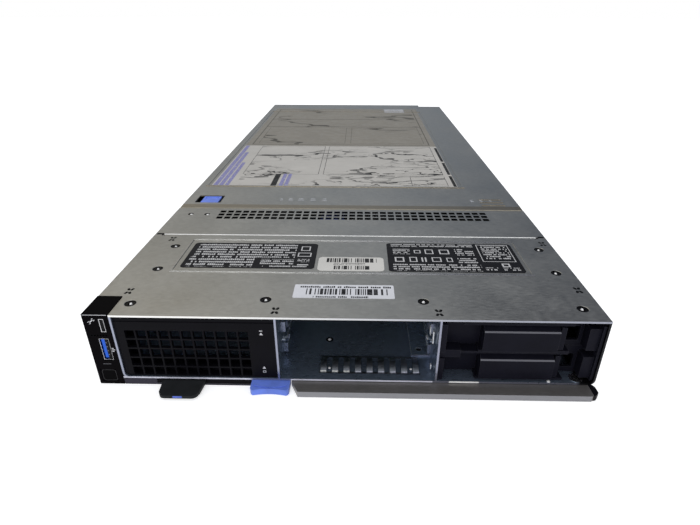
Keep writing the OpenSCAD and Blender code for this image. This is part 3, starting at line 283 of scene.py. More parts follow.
def make_sheared_edge_and_light():
    """Masks for sheared edges and painted light. Mask: 1 on faces that look to the front or back, mostly sheared
    edges of bare steel, which are painted with light and shade. Side: 0 at the left to 1 at the right of the
    server, for painted light that fades across. The far-right output: 1 at the far right, for painted shade.
    Outside: 1 on the right outer wall, which is kept out of that shade."""
    tree, _, out = new_group("sheared_edge_and_light", [], [
        ("Mask", "NodeSocketFloat"), ("Side", "NodeSocketFloat"), ("End", "NodeSocketFloat"),
        ("Outside", "NodeSocketFloat")])
    geometry = tree.nodes.new("ShaderNodeNewGeometry")
    split = tree.nodes.new("ShaderNodeSeparateXYZ")
    tree.links.new(geometry.outputs["True Normal"], split.inputs[0])
    facing = math_node(tree, "ABSOLUTE", split.outputs["Y"])
    tree.links.new(spread(tree, facing, 0.85, 0.95), out.inputs["Mask"])
    place = tree.nodes.new("ShaderNodeSeparateXYZ")
    tree.links.new(object_place(tree), place.inputs[0])
    tree.links.new(spread(tree, place.outputs["X"], -0.06, 0.06), out.inputs["Side"])
    # mask for the painted shade at the far right
    tree.links.new(spread(tree, place.outputs["X"], 0.116, 0.118), out.inputs["End"])
    outward = math_node(tree, "GREATER_THAN", split.outputs["X"], 0.5)
    beyond = math_node(tree, "GREATER_THAN", place.outputs["X"], SIDE - 0.0006)
    tree.links.new(math_node(tree, "MULTIPLY", outward, beyond), out.inputs["Outside"])
    return tree


def make_pocket():
    """1 on the walls of small openings and pressed marks in the top sheet, below its surface, where black shade is
    painted.
    """
    tree, _, out = new_group("pocket", [], [("Mask", "NodeSocketFloat")])
    place = tree.nodes.new("ShaderNodeSeparateXYZ")
    tree.links.new(object_place(tree), place.inputs[0])
    mask = math_node(tree, "LESS_THAN", place.outputs["Z"], TOP - 0.00012)
    mask = math_node(tree, "MULTIPLY", mask, math_node(tree, "GREATER_THAN", place.outputs["Z"], TOP - 0.00078))
    mask = math_node(tree, "MULTIPLY", mask, math_node(tree, "GREATER_THAN", place.outputs["Y"], FRONT + 0.001))
    across = math_node(tree, "LESS_THAN", math_node(tree, "ABSOLUTE", place.outputs["X"]), 0.1222)
    tree.links.new(math_node(tree, "MULTIPLY", mask, across), out.inputs["Mask"])
    return tree


def make_lit_bevel():
    """1 on the narrow bevel that faces forward and up, for a painted highlight."""
    tree, _, out = new_group("lit_bevel", [], [("Mask", "NodeSocketFloat")])
    geometry = tree.nodes.new("ShaderNodeNewGeometry")
    split = tree.nodes.new("ShaderNodeSeparateXYZ")
    tree.links.new(geometry.outputs["True Normal"], split.inputs[0])
    forward = math_node(tree, "LESS_THAN", split.outputs["Y"], -0.58)
    upward = math_node(tree, "GREATER_THAN", split.outputs["Z"], 0.4)
    tree.links.new(math_node(tree, "MULTIPLY", forward, upward), out.inputs["Mask"])
    return tree


def make_print_rows():
    """Rows of small marks that stand for fine print, without letters."""
    tree, given, out = new_group("print_rows", [
        ("Pitch", "NodeSocketFloat", 0.002), ("Fill", "NodeSocketFloat", 0.78)], [("Mask", "NodeSocketFloat")])
    split = tree.nodes.new("ShaderNodeSeparateXYZ")
    tree.links.new(object_place(tree), split.inputs[0])
    row = math_node(tree, "DIVIDE", split.outputs["Y"], given.outputs["Pitch"])
    step = math_node(tree, "MULTIPLY", given.outputs["Pitch"], 0.36)
    column = math_node(tree, "DIVIDE", split.outputs["X"], step)
    cell = tree.nodes.new("ShaderNodeCombineXYZ")
    tree.links.new(math_node(tree, "FLOOR", column), cell.inputs[0])
    tree.links.new(math_node(tree, "FLOOR", row), cell.inputs[1])
    chance = tree.nodes.new("ShaderNodeTexWhiteNoise")
    tree.links.new(cell.outputs[0], chance.inputs["Vector"])
    words = noise(tree, stretch(tree, cell.outputs[0], (0.3, 7.3, 1.0)), 1.0, 0.0)
    drawn = math_node(tree, "LESS_THAN", chance.outputs["Value"], given.outputs["Fill"])
    drawn = math_node(tree, "MULTIPLY", drawn, math_node(tree, "GREATER_THAN", words, 0.31))
    across = math_node(tree, "LESS_THAN", math_node(tree, "FRACT", column), 0.78)
    height = math_node(tree, "MULTIPLY_ADD", chance.outputs["Value"], 0.22, 0.45)
    along = math_node(tree, "LESS_THAN", math_node(tree, "FRACT", row), height)
    mask = math_node(tree, "MULTIPLY", math_node(tree, "MULTIPLY", drawn, across), along)
    tree.links.new(mask, out.inputs["Mask"])
    return tree


def make_bar_stripes():
    """Upright stripes of uneven width, as on a stock label."""
    tree, given, out = new_group("bar_stripes", [("Width", "NodeSocketFloat", 0.0005)],
                                 [("Mask", "NodeSocketFloat")])
    split = tree.nodes.new("ShaderNodeSeparateXYZ")
    tree.links.new(object_place(tree), split.inputs[0])
    column = math_node(tree, "FLOOR", math_node(tree, "DIVIDE", split.outputs["X"], given.outputs["Width"]))
    chance = tree.nodes.new("ShaderNodeTexWhiteNoise")
    chance.noise_dimensions = "1D"
    tree.links.new(column, chance.inputs["W"])
    tree.links.new(math_node(tree, "LESS_THAN", chance.outputs["Value"], 0.52), out.inputs["Mask"])
    return tree


def make_field():
    """1 inside a rectangle on the top of a label, seen from above."""
    tree, given, out = new_group("field", [(side, "NodeSocketFloat", 0.0) for side in ("X0", "X1", "Y0", "Y1")],
                                 [("Mask", "NodeSocketFloat")])
    split = tree.nodes.new("ShaderNodeSeparateXYZ")
    tree.links.new(object_place(tree), split.inputs[0])
    inside = []
    for axis in "XY":
        inside.append(math_node(tree, "GREATER_THAN", split.outputs[axis], given.outputs[axis + "0"]))
        inside.append(math_node(tree, "LESS_THAN", split.outputs[axis], given.outputs[axis + "1"]))
    mask = inside[0]
    for other in inside[1:]:
        mask = math_node(tree, "MULTIPLY", mask, other)
    tree.links.new(mask, out.inputs["Mask"])
    return tree


def make_pen_lines():
    """Thin wandering strokes, like the shading lines of a drawing."""
    tree, given, out = new_group("pen_lines", [
        ("Scale", "NodeSocketFloat", 40.0), ("Weight", "NodeSocketFloat", 0.01)], [("Mask", "NodeSocketFloat")])
    place = stretch(tree, object_place(tree), (0.35, 1.0, 1.0))
    height = noise(tree, place, given.outputs["Scale"], 3.0, 0.6)
    away = math_node(tree, "ABSOLUTE", math_node(tree, "SUBTRACT", height, 0.5))
    near = math_node(tree, "LESS_THAN", away, given.outputs["Weight"])
    patchy = spread(tree, noise(tree, place, 25.0, 1.0), 0.42, 0.55)
    tree.links.new(math_node(tree, "MULTIPLY", near, patchy), out.inputs["Mask"])
    return tree


GROUPS = {
    "field": make_field(), "pen": make_pen_lines(), "pocket": make_pocket(), "bevel": make_lit_bevel(),
    "grain": make_sheet_grain(), "wear": make_edge_wear_and_glint(), "skin": make_moulded_skin(),
    "edge_light_masks": make_sheared_edge_and_light(), "print": make_print_rows(), "stripes": make_bar_stripes(),
}


# ------------------------------------------------------------------ materials

def start_material(name, metallic=0.0, roughness=0.5, specular=0.5):
    mat = bpy.data.materials.new(name)
    mat.use_nodes = True
    shader = mat.node_tree.nodes["Principled BSDF"]
    shader.inputs["Metallic"].default_value = metallic
    shader.inputs["Roughness"].default_value = roughness
    shader.inputs["Specular IOR Level"].default_value = specular
    return mat, mat.node_tree, shader


def use(tree, key, **values):
    node = tree.nodes.new("ShaderNodeGroup")
    node.node_tree = GROUPS[key]
    for label, value in values.items():
        node.inputs[label].default_value = value
    return node.outputs


def tinted(tree, colour, factor):
    """A colour made lighter or darker by a factor that changes over the surface."""
    node = tree.nodes.new("ShaderNodeVectorMath")
    node.operation = "SCALE"
    node.inputs[0].default_value = colour
    tree.links.new(factor, node.inputs["Scale"])
    return node.outputs[0]


def blend_colour(tree, mask, first, second):
    node = tree.nodes.new("ShaderNodeMix")
    node.data_type = "RGBA"
    tree.links.new(mask, node.inputs[0])
    for socket, value in ((node.inputs[6], first), (node.inputs[7], second)):
        if isinstance(value, tuple):
            socket.default_value = (*value, 1)
        else:
            tree.links.new(value, socket)
    return node.outputs[2]


def bump(tree, shader, height, distance, strength=1.0):
    node = tree.nodes.new("ShaderNodeBump")
    node.inputs["Distance"].default_value = distance
    node.inputs["Strength"].default_value = strength
    tree.links.new(height, node.inputs["Height"])
    tree.links.new(node.outputs[0], shader.inputs["Normal"])


# painted black shade inside the openings and pressed marks of the top sheet
POCKET_SHADE = (0.004, 0.004, 0.005)


def sheet_metal(name, colour, roughness, edges, wear=0.5, metallic=1.0, pockets=False, rub_and_glint=None, end=None,
                radius=0.00035, slope_reflection=None):
    """Zinc-coated sheet. Its faces that look to the front or back, mostly sheared edges, go from the first edge
    colour at
    the left to the second at the right: painted light and shade. Its other edges take the rub colour over a
    radius: rub marks with a painted glint. The end colour is painted shade on faces at the far right, except the
    outer wall. The slope colour is a painted warm reflection on the sloping front strip of the rear cover. Pockets
    get painted black shade."""
    mat, tree, shader = start_material(name, metallic)
    grain = use(tree, "grain")
    face = tinted(tree, colour, grain["Tone"])
    # rub marks along the edges, painted with a glint colour
    rub = use(tree, "wear", Radius=radius, Amount=wear)["Mask"]
    face = blend_colour(tree, rub, face, rub_and_glint or edges[0])
    # faces that look forward or back: painted light at the left fading to the right-hand colour
    edge_light_masks = use(tree, "edge_light_masks")
    bare = blend_colour(tree, edge_light_masks["Side"], edges[0], edges[1])
    face = blend_colour(tree, edge_light_masks["Mask"], face, bare)
    # painted shade on faces at the far right, but not on the outer wall
    if end:
        face = blend_colour(tree, edge_light_masks["End"], face, end)
        face = blend_colour(tree, edge_light_masks["Outside"], face, ZINC)
    # painted warm reflection on the sloping front strip
    if slope_reflection:
        strip = use(tree, "field", X0=-SIDE, X1=SIDE, Y0=LID - 0.0001, Y1=LID + 0.008)["Mask"]
        face = blend_colour(tree, strip, face, slope_reflection)
    # painted black shade in openings and pressed marks
    if pockets:
        face = blend_colour(tree, use(tree, "pocket")["Mask"], face, POCKET_SHADE)
    tree.links.new(face, shader.inputs["Base Color"])
    tree.links.new(math_node(tree, "ADD", grain["Gloss"], roughness), shader.inputs["Roughness"])
    bump(tree, shader, grain["Height"], 0.00002, 0.6)
    return mat


def plain_metal(name, colour, roughness, grain_size=800.0):
    """Turned, plated or cast metal with a fine grain."""
    mat, tree, shader = start_material(name, 1.0)
    grain = noise(tree, object_place(tree), grain_size, 3.0)
    tone = spread(tree, grain, 0.3, 0.7, 0.85, 1.12)
    tree.links.new(tinted(tree, colour, tone), shader.inputs["Base Color"])
    gloss = spread(tree, grain, 0.3, 0.7, roughness - 0.06, roughness + 0.06)
    tree.links.new(gloss, shader.inputs["Roughness"])
    bump(tree, shader, grain, 0.00002, 0.4)
    return mat


def plastic(name, colour, roughness, edge, wear=0.6, specular=0.5, bevel=None):
    """Moulded plastic with a fine skin. Its edges are lighter: rub marks with a painted highlight. The bevel
    colour is a painted highlight on the bevel that faces forward and up.
    """
    mat, tree, shader = start_material(name, 0.0, specular=specular)
    skin = use(tree, "skin")
    mask = use(tree, "wear", Radius=0.0003, Amount=wear)["Mask"]
    face = tinted(tree, colour, skin["Tone"])
    # lighter edges: rub marks with a painted highlight
    face = blend_colour(tree, mask, face, edge)
    # painted highlight on the bevel that faces forward and up
    if bevel:
        face = blend_colour(tree, use(tree, "bevel")["Mask"], face, bevel)
    tree.links.new(face, shader.inputs["Base Color"])
    tree.links.new(math_node(tree, "ADD", skin["Gloss"], roughness), shader.inputs["Roughness"])
    bump(tree, shader, skin["Height"], 0.00003, 0.5)
    return mat


def circuit_board(name, colour):
    """Solder mask over copper: faint tracks and pads under a glossy coat."""
    mat, tree, shader = start_material(name, 0.0, 0.3)
    place = object_place(tree)
    tracks = tree.nodes.new("ShaderNodeTexBrick")
    tracks.inputs["Scale"].default_value = 220.0
    tracks.inputs["Mortar Size"].default_value = 0.03
    tree.links.new(place, tracks.inputs["Vector"])
    mask = spread(tree, tracks.outputs["Fac"], 0.0, 1.0, 0.0, 0.6)
    lighter = tuple(min(1.0, part * 1.7 + 0.01) for part in colour)
    tree.links.new(blend_colour(tree, mask, colour, lighter), shader.inputs["Base Color"])
    tree.links.new(spread(tree, noise(tree, place, 300.0), 0.3, 0.7, 0.25, 0.4), shader.inputs["Roughness"])
    return mat


bpy.context.scene.view_settings.view_transform = "Standard"
studio_world()
add_floor()
add_area("overhead", (-0.25, 0.1, 1.3), (0, 0, 0), (1.2, 1.6), 4.0)
add_area("front_fill", (-0.1, -1.3, 0.45), (0, -0.25, 0.02), (0.7, 0.4), 3.0)

ZINC = (0.5, 0.5, 0.488)
# edge colours of the cage, a little lighter at the left: painted light
CAGE_EDGES = ((0.3, 0.32, 0.4), (0.26, 0.27, 0.34))
MATERIALS = {
    # near-black painted shade on faces that look forward or back; edges have rub marks with a painted glint
    "galvanised_steel": sheet_metal(
        "galvanised_steel", ZINC, 0.4, ((0.04, 0.038, 0.052), (0.08, 0.08, 0.1)), 0.4, rub_and_glint=(0.6, 0.6, 0.6)),
    # front cover: sheared faces painted bright at the left, fading to shade at the right; edges have rub marks
    # with a painted glint; pockets painted black shade
    "cover_steel": sheet_metal(
        "cover_steel", ZINC, 0.4, ((0.8, 0.8, 0.78), (0.3, 0.31, 0.36)), 0.4, pockets=True,
        rub_and_glint=(0.8, 0.8, 0.8)),
    # bridge: dark painted shade on faces that look forward or back, such as slot walls; edges have rub marks with
    # a painted glint; pockets painted black shade
    "bridge_steel": sheet_metal(
        "bridge_steel", ZINC, 0.4, ((0.1, 0.1, 0.1), (0.1, 0.1, 0.1)), 0.3, pockets=True,
        rub_and_glint=(0.75, 0.75, 0.75)),
    # rear cover: painted warm reflection on faces that look forward or back and on the sloping front strip; edges
    # have rub marks with a painted glint
    "lid_steel": sheet_metal(
        "lid_steel", ZINC, 0.4, ((0.4, 0.34, 0.25), (0.4, 0.34, 0.25)), 0.3, rub_and_glint=(0.7, 0.7, 0.68),
        slope_reflection=(0.38, 0.345, 0.29)),
    # cage: bright edges are painted glints over rub marks; the end colour is painted shade at the far right
    "cage_steel": sheet_metal(
        "cage_steel", (0.24, 0.3, 0.4), 0.33, CAGE_EDGES, 0.9, 0.82, rub_and_glint=(0.8, 0.85, 0.95),
        end=(0.012, 0.012, 0.014)),
    # dividers: the near-white edges over a wide radius are painted glints
    "divider_steel": sheet_metal(
        "divider_steel", (0.26, 0.33, 0.43), 0.3, CAGE_EDGES, 3.0, 0.82, rub_and_glint=(0.95, 1.0, 1.0),
        radius=0.0007),
    # handle: faces that look forward or back are painted lighter as light; edges have rub marks with a painted
    # glint
    "handle_steel": sheet_metal(
        "handle_steel", (0.23, 0.218, 0.212), 0.38, ((0.27, 0.27, 0.285), (0.23, 0.23, 0.245)), 0.6, 0.65,
        rub_and_glint=(0.6, 0.6, 0.6)),
    # spring fingers: near-black painted shade on faces that look forward or back and on their edges
    "spring_steel": sheet_metal(
        "spring_steel", (0.3, 0.32, 0.36), 0.35, ((0.04, 0.04, 0.045), (0.04, 0.04, 0.045)), 0.3),
    # near black: painted shade of the countersinks round the bright crowns of the cover screws
    "screw_steel": plain_metal("screw_steel", (0.016, 0.016, 0.018), 0.4),
    "bright_steel": plain_metal("bright_steel", (0.8, 0.8, 0.8), 0.25),
    "port_steel": plain_metal("port_steel", (0.6, 0.6, 0.62), 0.25),
    "nickel_copper": plain_metal("nickel_copper", (0.66, 0.66, 0.65), 0.3),
    "aluminium": plain_metal("aluminium", (0.72, 0.73, 0.74), 0.32),
    "black_anodised": plain_metal("black_anodised", (0.04, 0.04, 0.043), 0.4),
    "cast_metal": plain_metal("cast_metal", (0.55, 0.55, 0.56), 0.45),
    "brass": plain_metal("brass", (0.6, 0.45, 0.2), 0.3),
    # the second colour of each plastic is for its edges: rub marks with a painted highlight
    "black_plastic": plastic(
        "black_plastic", (0.004, 0.0038, 0.0055), 0.42, (0.016, 0.016, 0.02), specular=0.05),
    "tag_plastic": plastic(
        "tag_plastic", (0.018, 0.0195, 0.021), 0.42, (0.03, 0.03, 0.034), specular=0.05),
    "panel_plastic": plastic(
        "panel_plastic", (0.0016, 0.0012, 0.0018), 0.45, (0.012, 0.012, 0.016), specular=0.02),
    # the bevel colour of the blanks is a painted highlight
    "blank_plastic": plastic(
        "blank_plastic", (0.0072, 0.0072, 0.0122), 0.4, (0.045, 0.045, 0.055), 1.0, 0.05,
        bevel=(0.15, 0.15, 0.17)),
    "blue_plastic": plastic("blue_plastic", (0.145, 0.235, 0.76), 0.38, (0.24, 0.35, 0.85), 0.3, 0.3),
    "usb_plastic": plastic("usb_plastic", (0.012, 0.12, 0.72), 0.35, (0.03, 0.2, 0.85), 0.3, 0.3),
    "pale_plastic": plastic("pale_plastic", (0.6, 0.58, 0.54), 0.45, (0.7, 0.68, 0.64), 0.3),
    "circuit_board": circuit_board("circuit_board", (0.012, 0.07, 0.04)),
}
SPECIAL_FINISH = {
    "front_cover": "cover_steel", "rear_cover": "lid_steel", "vent_bridge": "bridge_steel",
    "cover_screws": "screw_steel", "control_panel": "panel_plastic", "power_button": "panel_plastic",
    "drive_blank_upper": "blank_plastic", "drive_blank_lower": "blank_plastic", "info_tag": "tag_plastic",
    "cage_divider_left": "divider_steel", "cage_divider_right": "divider_steel",
}


def dress_nodes():
    """Gives every CAD node its own finish, or else the material of its slot in the record."""
    slots = {part["node"]: part["material_slot"] for part in frame["record"]["subparts"]}
    for name, node in frame["nodes"].items():
        node.data.materials.clear()
        finish = SPECIAL_FINISH.get(name, slots[name])
        node.data.materials.append(MATERIALS[finish])


dress_nodes()


# ------------------------------------------------------------------ labels and marks

# Places are in millimetres from the middle of the front face's lower edge
TOP_MM = TOP / MM
LID_MM = (LID - FRONT) / MM
LABEL_GAP, LABEL_T = 0.01, 0.08      # air under a label, and its thickness
PRINT_Z = (0.005, 0.02)              # print on the top sheet lies between these heights
SCREW_X, SCREW_Y = (-106.0, 115.5), (11, 47.5, 77)
MIDDLE_SCREW_X, MIDDLE_SCREW_Y = (-39.8, 39.0), 16
SHEAR_PLACES = ((-111.4, 22.6), (-111.4, 87.3), (120.2, 29), (120.2, 85.3), (-33.5, 6), (45.3, 6))
BRIDGE_MARK_X = (12.4, 24.0)         # from the left side of the bridge
FIRST_SLOT_X, SLOT_PITCH, SLOT_LENGTH = -91.15, 5.45, 4.2
FIRST_ROW, ROW_PITCH = 6.8, 5.7      # rows of slots, forward of the rear cover
FIRST_FINGER, FINGER_PITCH = 2.2, 5.94
DIVIDER_FLANGE = 10.6                # from the divider's left edge to its inner wall


def at(x, y, z=0.0):
    """A place of the server, from millimetres."""
    return Vector((x * MM, FRONT + y * MM, z * MM))


def place_of(node):
    """Low and high corner of a CAD node, in millimetres."""
    return [(x / MM, (y - FRONT) / MM, z / MM) for x, y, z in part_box(node)]


def finish_piece(name, bm, material, body="chassis"):
    bmesh.ops.recalc_face_normals(bm, faces=bm.faces)
    mesh = bpy.data.meshes.new(name)
    bm.to_mesh(mesh)
    bm.free()
    mesh.materials.append(material)
    piece = bpy.data.objects.new(name, mesh)
    bpy.context.collection.objects.link(piece)
    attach(piece, body)
    return piece


def add_plate(bm, low, high, radius=0.0, turn=0.0):
    """A flat plate between two corners, its edges through the thin side rounded, turned about the upright."""
    low, high = Vector(low), Vector(high)
    size = high - low
    made = bmesh.ops.create_cube(bm, size=1.0)["verts"]
    bmesh.ops.scale(bm, vec=size, verts=made)
    if radius:
        thin = min(range(3), key=lambda axis: size[axis])
        edges = {edge for vert in made for edge in vert.link_edges
                 if abs((edge.verts[0].co - edge.verts[1].co)[thin]) > size[thin] * 0.9}
        result = bmesh.ops.bevel(bm, geom=list(edges), offset=radius, segments=5, profile=0.5,
                                 affect="EDGES", material=-1)
        made = list({vert for face in result["faces"] for vert in face.verts} | {v for v in made if v.is_valid})
    if turn:
        bmesh.ops.rotate(bm, cent=(0, 0, 0), matrix=Matrix.Rotation(turn, 3, "Z"), verts=made)
    bmesh.ops.translate(bm, vec=(low + high) / 2, verts=made)


def add_block(bm, low, high):
    """A plate near the mesh's own origin, from millimetres."""
    add_plate(bm, Vector(low) * MM, Vector(high) * MM)


def add_print(bm, x, y, radius=0.0, turn=0.0):
    """A patch of print on the top sheet, from its x and y ranges in millimetres."""
    add_plate(bm, at(x[0], y[0], TOP_MM + PRINT_Z[0]), at(x[1], y[1], TOP_MM + PRINT_Z[1]), radius * MM, turn)


def push_out(bm, faces, step):
    """Draws faces out by a step into a closed solid."""
    drawn = bmesh.ops.extrude_face_region(bm, geom=faces)["geom"]
    bmesh.ops.translate(bm, vec=step, verts=[part for part in drawn if isinstance(part, bmesh.types.BMVert)])


def label_paper(name, ground, ink, rows=(), bars=(), frames=(), blocks=(), pens=(), roughness=0.4):
    """Printed label. Every printed area starts with x0, x1, y0, y1 in millimetres on the server. Then follow
    the pitch and fill of rows, the stripe width of bars, the line width of frames, or the scale and weight of
    pen lines."""
    mat, tree, shader = start_material(name, 0.0, 0.4, 0.09)

    def area(box, grow=0.0):
        x0, x1, y0, y1 = box[:4]
        return use(tree, "field", X0=(x0 - grow) * MM, X1=(x1 + grow) * MM,
                   Y0=FRONT + (y0 - grow) * MM, Y1=FRONT + (y1 + grow) * MM)["Mask"]

    masks = []
    for box in rows:
        marks = use(tree, "print", Pitch=box[4] * MM, Fill=box[5])["Mask"]
        masks.append(math_node(tree, "MULTIPLY", area(box), marks))
    for box in bars:
        masks.append(math_node(tree, "MULTIPLY", area(box), use(tree, "stripes", Width=box[4] * MM)["Mask"]))
    for box in frames:
        masks.append(math_node(tree, "SUBTRACT", area(box), area(box, -box[4])))
    for box in blocks:
        masks.append(area(box))
    for box in pens:
        strokes = use(tree, "pen", Scale=box[4], Weight=box[5])["Mask"]
        masks.append(math_node(tree, "MULTIPLY", area(box), strokes))
    mask = masks[0]
    for other in masks[1:]:
        mask = math_node(tree, "MAXIMUM", mask, other)
    place = object_place(tree)
    wear = spread(tree, noise(tree, place, 500.0, 3.0), 0.3, 0.6, 0.9, 1.0)
    mask = math_node(tree, "MULTIPLY", mask, wear)
    stain = spread(tree, noise(tree, place, 40.0, 4.0, 0.6), 0.3, 0.7, 0.93, 1.04)
    tree.links.new(blend_colour(tree, mask, tinted(tree, ground, stain), ink), shader.inputs["Base Color"])
    gloss = spread(tree, noise(tree, place, 120.0), 0.3, 0.7, roughness - 0.07, roughness + 0.07)
    tree.links.new(gloss, shader.inputs["Roughness"])
    bump(tree, shader, noise(tree, place, 60.0, 2.0), 0.00015, 0.3)
    return mat


def add_label(name, box, radius, material, body="chassis", under=0.0):
    """A thin label on a cover, from x0, x1, y0, y1. Where it lies on another label, that thickness is under it."""
    x0, x1, y0, y1 = box
    low = TOP_MM + under + LABEL_GAP
    bm = bmesh.new()
    add_plate(bm, at(x0, y0, low), at(x1, y1, low + LABEL_T), radius * MM)
    return finish_piece(name, bm, material, body)


BLACK_INK, WHITE_INK = (0.012, 0.012, 0.014), (0.5, 0.5, 0.5)
LABEL_BLACK = (0.011, 0.011, 0.013)


def rating_labels():
    """Two black data labels with fine white print, as rows of marks only."""
    left = label_paper(
        "data_label_left", LABEL_BLACK, WHITE_INK,
        rows=[(-91, -31, 62.6, 80.8, 3.25, 0.93), (-92, -54, 50.5, 62.6, 3.25, 0.93),
              (-50, -31, 53.6, 60.5, 2.9, 0.9), (-48, -23, 50.2, 52.6, 2.4, 0.95), (-29, -22, 57, 61, 2.0, 0.85)],
        frames=[(-29.5, -21.5, 64.2, 69.3, 0.7), (-28.3, -22.7, 72, 78, 0.7)],
        blocks=[(-28.6, -22.2, 53.2, 54.4)])
    add_label("data_label_left", (-94.5, -18.5, 49, 82), 2.2, left)
    right = label_paper(
        "data_label_right", LABEL_BLACK, WHITE_INK,
        rows=[(26, 76, 78.5, 82.8, 2.2, 0.86), (26, 76, 48.2, 56.2, 2.6, 0.84), (80.5, 96, 63, 82, 2.5, 0.8),
              (78, 97, 49, 53, 2.6, 0.8), (27, 37, 69, 76, 2.2, 0.8), (64, 75, 68, 77, 2.4, 0.85),
              (64, 75, 58, 65, 2.4, 0.85)],
        frames=[(39.5, 43.5, 70.3, 74.5, 0.6), (46, 51, 69.5, 75.5, 0.7), (54.5, 60.5, 69.5, 75.5, 0.8),
                (27.5, 33, 59, 65, 0.9), (36, 40.5, 59, 65.2, 0.7), (49, 54.5, 59.4, 65, 0.7),
                (57.5, 61, 59.4, 64.6, 0.6), (78.2, 97.4, 60.2, 82.8, 0.45), (88, 92.5, 53.8, 58, 0.9)],
        blocks=[(43, 43.9, 59.2, 64.8), (45, 45.9, 59.2, 64.8)])
    add_label("data_label_right", (23.4, 99.5, 47, 84), 2.2, right)


def stock_labels():
    """Two white labels with bars and small print marks."""
    middle = label_paper(
        "stock_label_middle", (0.56, 0.55, 0.52), BLACK_INK,
        bars=[(-12.5, 16.8, 57.4, 62.6, 0.5), (-7.5, 12.5, 48.8, 53.2, 0.5)],
        rows=[(-8, 11, 54.2, 56.6, 2.4, 0.95)])
    add_label("stock_label_middle", (-16.7, 20.9, 47, 64), 2.6, middle)
    front = label_paper(
        "stock_label_front", (0.62, 0.63, 0.66), BLACK_INK,
        bars=[(-20.5, 21.5, 21.4, 27.4, 0.55)],
        rows=[(-24, 23.5, 28.0, 31.0, 3.0, 0.97), (-16.5, 11.5, 18.3, 20.9, 2.6, 0.95)])
    add_label("stock_label_front", (-26.8, 24.9, 18, 31.5), 0.8, front)


def service_sheet():
    """The printed sheet on the rear cover: a pale front panel, columns of blue marks and a darker rear panel,
    both with framed line drawings, and a silver label on its rear corner."""
    front = label_paper(
        "service_sheet_front", (0.465, 0.448, 0.415), (0.008, 0.008, 0.008),
        pens=[(-97, 80, 196, 326, 26.0, 0.011), (-97, 80, 196, 326, 60.0, 0.009)],
        frames=[(50, 80, 196, 222, 0.4), (-26, 80, 226, 326, 0.4), (-97, -30, 226, 326, 0.4)],
        blocks=[(-67.5, -62.8, 194, 227), (84, 86.6, 195, 224), (84, 86.6, 228, 266), (84, 86.6, 270, 322),
                (-92, -50, 288, 291)])
    add_label("service_sheet_front", (-116, 87, 193, 328), 0.8, front, "rear_lid")
    blue = label_paper(
        "service_sheet_text", (0.33, 0.325, 0.45), (0.1, 0.095, 0.36),
        rows=[(-114.6, -102, 194.5, 326.5, 2.6, 1.0), (-60.4, -53.2, 194.5, 226.5, 2.6, 1.0)])
    columns = (("a", -114.8, -111, 327), ("b", -110, -106.5, 300), ("c", -105.2, -102, 262),
               ("d", -60.6, -57.4, 227), ("e", -56.2, -53, 227))
    for mark, x0, x1, y1 in columns:
        add_label("service_column_" + mark, (x0, x1, 194, y1), 0.3, blue, "rear_lid", LABEL_T)
    rear = label_paper(
        "service_sheet_rear", (0.245, 0.228, 0.195), (0.08, 0.073, 0.06),
        pens=[(-104, 78, 334, 538, 16.0, 0.013)],
        frames=[(-110, 81, 333, 543, 1.0), (-104, -10, 340, 420, 0.4), (-4, 76, 340, 420, 0.4)],
        blocks=[(-110, 81, 424, 425.5), (-110, 81, 470, 471.5)])
    add_label("service_sheet_rear", (-116, 87, 328.3, 549), 0.8, rear, "rear_lid")
    silver = label_paper(
        "asset_label", (0.42, 0.42, 0.43), (0.25, 0.25, 0.26), rows=[(44, 64, 526, 544, 3.2, 0.5)],
        frames=[(40, 69, 521, 547.5, 0.9)], roughness=0.3)
    add_label("asset_label", (40, 69, 521, 547.5), 1.2, silver, "rear_lid", LABEL_T)


# ------------------------------------------------------------------ small marks and lines

def plain_paint(name, colour, metallic=0.0, roughness=0.4, specular=0.3):
    """Paint, print or bare metal of one kind, slightly uneven."""
    mat, tree, shader = start_material(name, metallic, roughness, specular)
    cloud = noise(tree, object_place(tree), 300.0, 3.0)
    tree.links.new(tinted(tree, colour, spread(tree, cloud, 0.3, 0.7, 0.85, 1.1)), shader.inputs["Base Color"])
    tree.links.new(spread(tree, cloud, 0.3, 0.7, roughness - 0.05, roughness + 0.05), shader.inputs["Roughness"])
    return mat


PAINTS = {
    "white_print": plain_paint("white_print", (0.62, 0.62, 0.64)),
    "faint_print": plain_paint("faint_print", (0.03, 0.03, 0.033)),
    "grey_print": plain_paint("grey_print", (0.16, 0.16, 0.18)),
    # near-white painted highlight on the front cover's fold and on a cage floor edge
    "fold_highlight": plain_paint("fold_highlight", (0.92, 0.92, 0.9), 0.1, 0.35),
    # painted warm reflection on the rear cover's fold
    "fold_warm_reflection": plain_paint("fold_warm_reflection", (0.3, 0.275, 0.22), 0.1, 0.4),
    # painted highlight on the cage floor's front edges and on finger tips
    "floor_edge_highlight": plain_paint("floor_edge_highlight", (0.62, 0.63, 0.72), 0.1, 0.35),
    # painted highlight on screw and rivet crowns and on divider tabs
    "crown_highlight": plain_paint("crown_highlight", (0.85, 0.85, 0.85), 0.3, 0.3),
    # painted highlight on the first three finger tips
    "finger_tip_highlight": plain_paint("finger_tip_highlight", (0.9, 0.9, 0.84), 0.0, 0.4),
    "blue_stripe": plain_paint("blue_stripe", (0.1, 0.16, 0.6)),
    "stamp_grey": plain_paint("stamp_grey", (0.58, 0.6, 0.64)),
    # near-black painted shade in hollows, gaps, slot edges and dents
    "shade_black": plain_paint("shade_black", (0.004, 0.004, 0.005), 0.0, 0.5, 0.1),
    "panel_black": plain_paint("panel_black", (0.0016, 0.0013, 0.0018), 0.0, 0.45, 0.02),
}


def add_strip(name, low, high, paint, body="chassis", radius=0.0):
    """A thin strip between two corners in millimetres."""
    bm = bmesh.new()
    add_plate(bm, at(*low), at(*high), radius * MM)
    return finish_piece(name, bm, PAINTS[paint], body)


